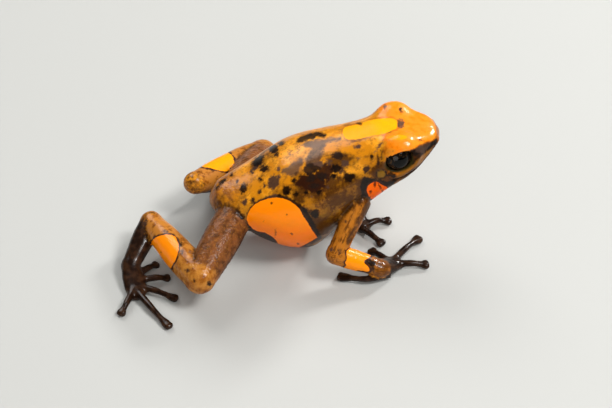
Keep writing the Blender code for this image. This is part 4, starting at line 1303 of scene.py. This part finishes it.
def pattern(size_mm, detail, offset=0.0):
    """Soft noise over the skin, with features of that size in mm."""
    moved = add_node(tree, "ShaderNodeVectorMath", {"operation": "ADD"}, {0: place, 1: (offset,) * 3})
    return add_node(tree, "ShaderNodeTexNoise", {},
                    {"Vector": moved.outputs[0], "Scale": 1.0 / (size_mm * MM), "Detail": detail,
                     "Roughness": NOISE_ROUGHNESS}).outputs["Fac"]


def cells(place, scale, smoothness):
    """The distance from the middle of the nearest of many soft round cells."""
    return add_node(tree, "ShaderNodeTexVoronoi", {"feature": "SMOOTH_F1"},
                    {"Vector": place, "Scale": scale, "Smoothness": smoothness}).outputs["Distance"]


def bump(size, height, normal=None):
    """Fine relief of that strength and height, over the relief whose normal is given."""
    inputs = {"Strength": size[0], "Distance": size[1], "Height": height}
    if normal is not None:
        inputs["Normal"] = normal
    return add_node(tree, "ShaderNodeBump", {}, inputs).outputs[0]


def step(value, start, end, low=0.0, high=1.0):
    """A smooth step from low to high as a value goes from start to end."""
    inputs = {"Value": value, "From Min": start, "From Max": end, "To Min": low, "To Max": high}
    return add_node(tree, "ShaderNodeMapRange", {"interpolation_type": "SMOOTHSTEP"}, inputs).outputs[0]


def maths(operation, first, second):
    """The result of a sum of that kind with two values."""
    return add_node(tree, "ShaderNodeMath", {"operation": operation}, {0: first, 1: second}).outputs[0]


def times(first, second):
    """One value times another."""
    return maths("MULTIPLY", first, second)


def mixed(factor, first, second):
    """The first colour where the factor is 0, and the second where it is 1."""
    inputs = {0: factor, 6: first, 7: second}
    return add_node(tree, "ShaderNodeMix", {"data_type": "RGBA"}, inputs).outputs[2]


def spread(value, noise, amount, start, end):
    """A mark's value with its edge broken up by noise, as a share from 0 to 1."""
    return step(maths("ADD", value, times(noise, amount)), start, end)


def dappled(value, start, end, low, high):
    """A share that runs from low to high of itself with the mottle."""
    return times(value, step(mottle, start, end, low, high))


mark = {name: stored(name) for name in skin_marks}

# The skin's noises, each with its size in mm, its detail and its offset
broad = pattern(2.6, 2.0)
mottle = pattern(0.9, 4.0, 0.3)
fleck = pattern(0.3, 3.0, 0.7)
ragged = maths("SUBTRACT", pattern(0.42, 3.0, 0.1), 0.5)
coarse = maths("SUBTRACT", mottle, 0.5)
cloudy = maths("ADD", coarse, times(ragged, 0.7))
along_limb = add_node(tree, "ShaderNodeCombineXYZ", {},
                      {"X": times(mark["limb_along"], STREAKS_ALONG),
                       "Y": times(mark["limb_round"], STREAKS_ROUND)}).outputs[0]
streaks = add_node(tree, "ShaderNodeTexNoise", {"noise_dimensions": "2D"},
                   {"Vector": along_limb, "Scale": 1.0, "Detail": 3.0}).outputs["Fac"]
net = times(step(mottle, 0.46, 0.6), step(fleck, 0.35, 0.6, 0.35, 1.0))

# The tones of each part
back_colour = mixed(step(maths("ADD", broad, coarse), 0.4, 0.62), BACK_OCHRE, BACK_GOLD)
head_colour = mixed(step(mottle, 0.42, 0.62), HEAD_GOLD, HEAD_ORANGE)
belly_colour = mixed(step(broad, 0.45, 0.6), BELLY_BROWN, BACK_OCHRE)
# The thigh darkens with the mottle and with its painted shade
thigh_share = maths("MAXIMUM", step(mottle, 0.38, 0.68, 0.1, 0.75),
                    spread(mark["thigh_shade"], coarse, 0.8, 0.3, 0.9))
thigh_colour = mixed(thigh_share, THIGH_BROWN, THIGH_DARK)
thigh_colour = mixed(step(fleck, 0.5, 0.7, 0.0, 0.35), thigh_colour, SHANK_TAN)
knee_colour = mixed(step(mottle, 0.38, 0.62), SHANK_TAN, SHANK_BROWN)
shank_colour = mixed(mark["knee"], mixed(step(mottle, 0.5, 0.64), SHANK_OCHRE, SHANK_BROWN), knee_colour)
shank_flecks = step(maths("ADD", fleck, times(coarse, 0.5)), 0.6, 0.74, 0.0, 0.6)
shank_colour = mixed(shank_flecks, shank_colour, THIGH_DARK)
arm_streaks = step(maths("ADD", streaks, times(coarse, 0.6)), 0.42, 0.7, 0.0, 0.8)
arm_colour = mixed(arm_streaks, ARM_BROWN, ARM_DARK)
arm_colour = mixed(dappled(mark["wrist"], 0.4, 0.6, 0.9, 0.5), arm_colour, ARM_DARK)
limb_colour = mixed(step(mottle, 0.4, 0.65), LIMB_BLACK, LIMB_BROWN)
spot_colour = mixed(step(fleck, 0.35, 0.65), SPOT_BLACK, SPOT_BROWN)
# Spots turn towards a grey that is partly painted sheen over them
spot_colour = mixed(mark["spot_sheen"], spot_colour, SPOT_SHEEN_GREY)
patch_colour = mixed(mark["yellow"], PATCH_ORANGE, PATCH_YELLOW)
patch_colour = mixed(step(mark["yellow"], 0.0, -1.0), patch_colour, PATCH_RED)
patch_colour = mixed(step(mottle, 0.35, 0.7, 0.0, 0.12), patch_colour, BACK_OCHRE)

# The layers over the back's own tone, lowest first: how far each covers, and its colour. Some
# lie dappled, between two levels of the mottle and two shares; some spread by a noise's amount,
# from one value of their mark to another.
SKIN_LAYERS = [
    (dappled(mark["flank"], 0.35, 0.6, 1.0, 0.6), FLANK_OCHRE),
    (dappled(mark["low_flank"], 0.35, 0.6, 1.0, 0.55), LOW_FLANK_BROWN),
    (times(net, step(mark["flank"], 0.0, 1.0, 0.6, 0.95)), BROWN_NET),
    (spread(mark["head"], coarse, 0.8, 0.3, 0.7), head_colour),
    # Painted shade on the snout's side and cheek
    (dappled(mark["face_shade"], 0.35, 0.65, 1.0, 0.75), FACE_SHADE_BROWN),
    # Painted shade along the jaw
    (dappled(mark["jaw_shade"], 0.35, 0.65, 1.0, 0.75), JAW_SHADE_BROWN),
    (times(spread(mark["lip_stripe"], coarse, 0.7, -0.4, 0.1), 0.9), LIP_OCHRE),
    (dappled(mark["rump"], 0.36, 0.58, 0.3, 1.0), RUMP_BROWN),
    (mark["belly"], belly_colour),
    # Painted sheen, grey-brown over the saddle and behind it
    (times(spread(mark["painted_sheen"], coarse, 1.2, -0.2, 0.3), 0.85), SHEEN_GREY_BROWN),
    (spread(mark["shank"], ragged, 0.3, 0.35, 0.65), shank_colour),
    (spread(mark["arm"], ragged, 0.5, 0.3, 0.7), arm_colour),
    (spread(mark["thigh"], ragged, 0.5, 0.25, 0.75), thigh_colour),
    # Brown clouds, partly pigment and partly painted shade in the folds, low on the flank and round the face
    (times(spread(mark["cloud"], cloudy, 1.1, 0.02, 0.9), 0.92), CLOUD_BROWN_AND_SHADE),
    (spread(mark["dark"], ragged, 0.5, 0.35, 0.7), limb_colour),
    (times(spread(mark["cluster"], cloudy, 1.5, -0.35, 0.15), 0.95), CLUSTER_RED),
    (dappled(spread(mark["spot"], ragged, 0.8, -0.14, 0.2), 0.3, 0.7, 1.0, 0.93), spot_colour),
    # Dark borders, partly pigment and partly painted shade on the snout's side and in the throat's fold
    (dappled(spread(mark["dark_border_and_shade"], ragged, 0.6, -0.12, 0.2), 0.3, 0.7, 1.0, 0.9), spot_colour),
    # Painted shade in the creases where two pieces meet
    (times(mark["crease"], 0.75), CREASE_SHADE_BROWN),
    # Painted shade in the mouth's groove, round the eardrums and in the nostrils
    (times(mark["line"], 0.85), SPOT_BLACK),
    (times(mark["eardrum"], 0.85), EARDRUM_OLIVE),
    # The lids' olive rim, with painted shade that widens below the eye
    (mark["rim"], RIM_OLIVE_AND_SHADE),
    (times(spread(mark["patch"], coarse, 0.8, -0.36, -0.12), mark["edge_dark"]), EDGE_BROWN),
    (spread(mark["patch"], ragged, 0.22, -0.04, 0.05), patch_colour),
    (times(spread(mark["speck"], ragged, 0.4, -0.1, 0.08), 0.85), SPOT_BROWN),
]
base = back_colour
for share, tone in SKIN_LAYERS:
    base = mixed(share, base, tone)

granule = cells(place, 1.0 / (GRANULE_CELLS[0] * MM), GRANULE_CELLS[1])
grain = cells(place, 1.0 / (GRAIN_CELLS[0] * MM), GRAIN_CELLS[1])
normal = bump(GRANULE_BUMP, times(maths("SUBTRACT", 1.0, granule), mark["granules"]))
normal = bump(GRAIN_BUMP, grain, normal)
normal = bump(PORE_BUMP, mottle, normal)
for name, value in SKIN_SHINE.items():
    shader.inputs[name].default_value = value
for name, socket in (("Base Color", base), ("Roughness", step(mottle, 0.3, 0.7, *SKIN_ROUGHNESS)),
                     ("Coat Weight", times(mark["wet"], COAT_WEIGHT)), ("Normal", normal),
                     ("Coat Normal", normal)):
    tree.links.new(socket, shader.inputs[name])


# Granules
# Low round granules over the thighs, the rump and the upper arms, and shallow unevenness
# everywhere, raised on the skin along its own normals.

# Sizes and heights in mm; a granule rises from below the skin's own level, and the skin that
# lies on the floor stays as it is.
RELIEF_SIZES = {"Granule size": 0.42, "Granule height": 0.05, "Uneven size": 2.2, "Uneven height": 0.1}
GRANULE_SMOOTHNESS = 0.25
MOUND_EDGE = 0.6
MOUND_FOOT = -0.3
STILL_BELOW = 0.15

relief = bpy.data.node_groups.new("skin_relief", "GeometryNodeTree")
tree = relief
for in_out in ("INPUT", "OUTPUT"):
    relief.interface.new_socket("Geometry", in_out=in_out, socket_type="NodeSocketGeometry")
identifiers = {}
for name, kind in [(name, "Float") for name in RELIEF_SIZES] + [("Skin", "Material")]:
    socket = relief.interface.new_socket(name, in_out="INPUT", socket_type="NodeSocket" + kind)
    identifiers[name] = socket.identifier
given = add_node(relief, "NodeGroupInput", {}, {}).outputs
position = add_node(relief, "GeometryNodeInputPosition", {}, {}).outputs[0]
normal = add_node(relief, "GeometryNodeInputNormal", {}, {}).outputs[0]
granular = add_node(relief, "GeometryNodeInputNamedAttribute", {"data_type": "FLOAT"},
                    {"Name": "granules"}).outputs[0]
granule = cells(position, maths("DIVIDE", 1.0, given["Granule size"]), GRANULE_SMOOTHNESS)
mound = step(granule, MOUND_EDGE, 0.0, MOUND_FOOT, 1.0)
granule_height = times(times(mound, given["Granule height"]), granular)
uneven = add_node(relief, "ShaderNodeTexNoise", {},
                  {"Vector": position, "Scale": maths("DIVIDE", 1.0, given["Uneven size"]), "Detail": 1.0})
uneven_height = times(maths("SUBTRACT", uneven.outputs["Fac"], 0.5), given["Uneven height"])
offset = add_node(relief, "ShaderNodeVectorMath", {"operation": "SCALE"},
                  {0: normal, "Scale": maths("ADD", granule_height, uneven_height)}).outputs[0]
above_floor = add_node(relief, "ShaderNodeSeparateXYZ", {}, {"Vector": position}).outputs["Z"]
free = add_node(relief, "FunctionNodeCompare", {"data_type": "FLOAT", "operation": "GREATER_THAN"},
                {0: above_floor, 1: STILL_BELOW * MM}).outputs[0]
raise_skin = add_node(relief, "GeometryNodeSetPosition", {},
                      {"Geometry": given["Geometry"], "Selection": free, "Offset": offset})
realised = add_node(relief, "GeometryNodeRealizeInstances", {}, {"Geometry": raise_skin.outputs[0]})
finished = add_node(relief, "GeometryNodeSetMaterial", {},
                    {"Geometry": realised.outputs[0], "Material": given["Skin"]})
add_node(relief, "NodeGroupOutput", {}, {"Geometry": finished.outputs[0]})

modifier = skin.modifiers.new("relief", "NODES")
modifier.node_group = relief
for name, size in RELIEF_SIZES.items():
    modifier[identifiers[name]] = size * MM
modifier[identifiers["Skin"]] = skin_finish
bpy.context.view_layer.update()
raised_mesh = bpy.data.meshes.new_from_object(skin.evaluated_get(bpy.context.evaluated_depsgraph_get()))
skin.modifiers.remove(modifier)
skin.data = raised_mesh
raised_mesh.shade_smooth()

flesh = [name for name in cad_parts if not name.startswith("eye_")]
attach(skin, "root")
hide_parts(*flesh)


# Eyes
# Two glossy, near-black eyes: a clear cornea that swells a little over the iris, dark bronze
# flecks in the iris and a black pupil that lies level. Each sits in its own socket.
CORNEA_RISE = 0.1
CORNEA_SPREAD = 38.0
CORNEA_SHOULDER = 4
IRIS_RAY_SCALE = 6.0
EYE_RINGS = 64
EYE_SPOKES = 96
PUPIL_LENGTHENING = 1.25
PUPIL_EDGE = (0.36, 0.42)
EYE_SHINE = {"Roughness": 0.3, "Specular IOR Level": 0.0, "Coat Weight": 0.6, "Coat Roughness": 0.05,
             "Coat IOR": 1.34}
IRIS_BLACK = colour("#0B0807")
IRIS_BRONZE = colour("#3A2713")
PUPIL_BLACK = colour("#020202")

eye_finish = bpy.data.materials.new("wet_dark_eye")
eye_finish.use_nodes = True
tree = eye_finish.node_tree
shader = tree.nodes["Principled BSDF"]
across_iris = stored("across_iris")
out_from_pupil = stored("out_from_pupil")
iris_place = add_node(tree, "ShaderNodeCombineXYZ", {}, {"X": across_iris, "Y": out_from_pupil}).outputs[0]
rays = add_node(tree, "ShaderNodeTexNoise", {"noise_dimensions": "2D"},
                {"Vector": iris_place, "Scale": IRIS_RAY_SCALE, "Detail": 3.0}).outputs["Fac"]
iris = mixed(step(rays, 0.5, 0.75), IRIS_BLACK, IRIS_BRONZE)
iris = mixed(step(out_from_pupil, *PUPIL_EDGE), PUPIL_BLACK, iris)
tree.links.new(iris, shader.inputs["Base Color"])
for name, value in EYE_SHINE.items():
    shader.inputs[name].default_value = value

eyes = bpy.data.collections.new("eyes_only")
slope = (np.arange(1, EYE_RINGS) * math.pi / EYE_RINGS)[:, None]
spoke = (np.arange(EYE_SPOKES) * math.tau / EYE_SPOKES)[None, :]
swell = EYE_RADIUS + CORNEA_RISE * np.exp(-(np.degrees(slope) / CORNEA_SPREAD) ** CORNEA_SHOULDER)
ball = np.stack([swell * np.sin(slope) * np.cos(spoke), swell * np.sin(slope) * np.sin(spoke),
                 swell * np.cos(slope) + 0.0 * spoke], -1).reshape(-1, 3)
ball = np.vstack([ball, (0.0, 0.0, EYE_RADIUS + CORNEA_RISE), (0.0, 0.0, -EYE_RADIUS)])
front_pole = len(ball) - 2
last = front_pole - EYE_SPOKES
faces = []
for a in range(EYE_SPOKES):
    b = (a + 1) % EYE_SPOKES
    faces += [(ring + a, ring + b, ring + EYE_SPOKES + b, ring + EYE_SPOKES + a)
              for ring in range(0, last, EYE_SPOKES)]
    faces += [(front_pole, b, a), (front_pole + 1, last + a, last + b)]
eye_marks = {"across_iris": np.abs(np.arctan2(ball[:, 1], ball[:, 0])),
             "out_from_pupil": np.arctan2(np.hypot(ball[:, 0] / PUPIL_LENGTHENING, ball[:, 1]), ball[:, 2])}
for side, hand in (("left", 1), ("right", -1)):
    centre, axes = eye_axes(hand)
    eye_mesh = bpy.data.meshes.new("eyeball_" + side)
    eye_mesh.from_pydata(((ball @ axes + centre + OWN_ORIGIN) * MM).tolist(), [], faces)
    shape = bmesh.new()
    shape.from_mesh(eye_mesh)
    bmesh.ops.recalc_face_normals(shape, faces=shape.faces)
    shape.to_mesh(eye_mesh)
    shape.free()
    set_marks(eye_mesh, eye_marks)
    eye_mesh.shade_smooth()
    eye_mesh.materials.append(eye_finish)
    eyeball = add_object("eyeball_" + side, eye_mesh)
    eyes.objects.link(eyeball)
    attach(eyeball, "root")
    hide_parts("eye_" + side)


# Floor and light
# A pale plain floor under soft studio light: broad lamps behind, above and beside the frog,
# small ones for the wet highlights of the snout and the eyes, and an even grey room.
FLOOR_REACH = 1.2
FLOOR_PALE = colour("#B2B2AE")
FLOOR_ROUGHNESS = 0.8
ROOM_STRENGTH = 0.24

# Each lamp's turn and height as seen from the frog, in degrees, its distance and width in m,
# and its power in W
LAMPS = {"key_lamp": (37.0, 31.0, 0.45, 0.08, 1.3), "sky_lamp": (113.0, 46.0, 0.45, 0.26, 0.9),
         "top_lamp": (-31.0, 58.0, 0.45, 0.2, 0.8), "fill_lamp": (-100.0, 34.0, 0.5, 0.4, 1.2),
         "small_lamp": (-33.0, 54.0, 0.45, 0.1, 0.7), "eye_lamp": (-110.0, 17.0, 0.45, 0.36, 1.1)}

floor_mesh = bpy.data.meshes.new("floor")
floor_corners = [(x * FLOOR_REACH, y * FLOOR_REACH, 0) for x, y in ((-1, -1), (1, -1), (1, 1), (-1, 1))]
floor_mesh.from_pydata(floor_corners, [], [(0, 1, 2, 3)])
floor_finish = bpy.data.materials.new("pale_floor")
floor_finish.use_nodes = True
floor_shader = floor_finish.node_tree.nodes["Principled BSDF"]
floor_shader.inputs["Base Color"].default_value = FLOOR_PALE
floor_shader.inputs["Roughness"].default_value = FLOOR_ROUGHNESS
floor_mesh.materials.append(floor_finish)
floor = add_object("floor", floor_mesh)

for name, (turn, height, far, size, power) in LAMPS.items():
    turn = math.radians(turn)
    height = math.radians(height)
    way = Vector((math.cos(turn) * math.cos(height), math.sin(turn) * math.cos(height), math.sin(height)))
    lamp_data = bpy.data.lights.new(name, "AREA")
    lamp_data.shape = "DISK"
    lamp_data.size = size
    lamp_data.energy = power
    lamp = add_object(name, lamp_data)
    lamp.location = way * far
    lamp.rotation_euler = (-way).to_track_quat("-Z", "Y").to_euler()
bpy.data.objects["fill_lamp"].visible_glossy = False
bpy.data.objects["eye_lamp"].light_linking.receiver_collection = eyes
room = bpy.data.worlds.new("room")
room.use_nodes = True
background = room.node_tree.nodes["Background"]
background.inputs["Color"].default_value = (1.0, 1.0, 1.0, 1.0)
background.inputs["Strength"].default_value = ROOM_STRENGTH
room.cycles_visibility.glossy = False
bpy.context.scene.world = room
bpy.context.scene.view_settings.view_transform = "Standard"
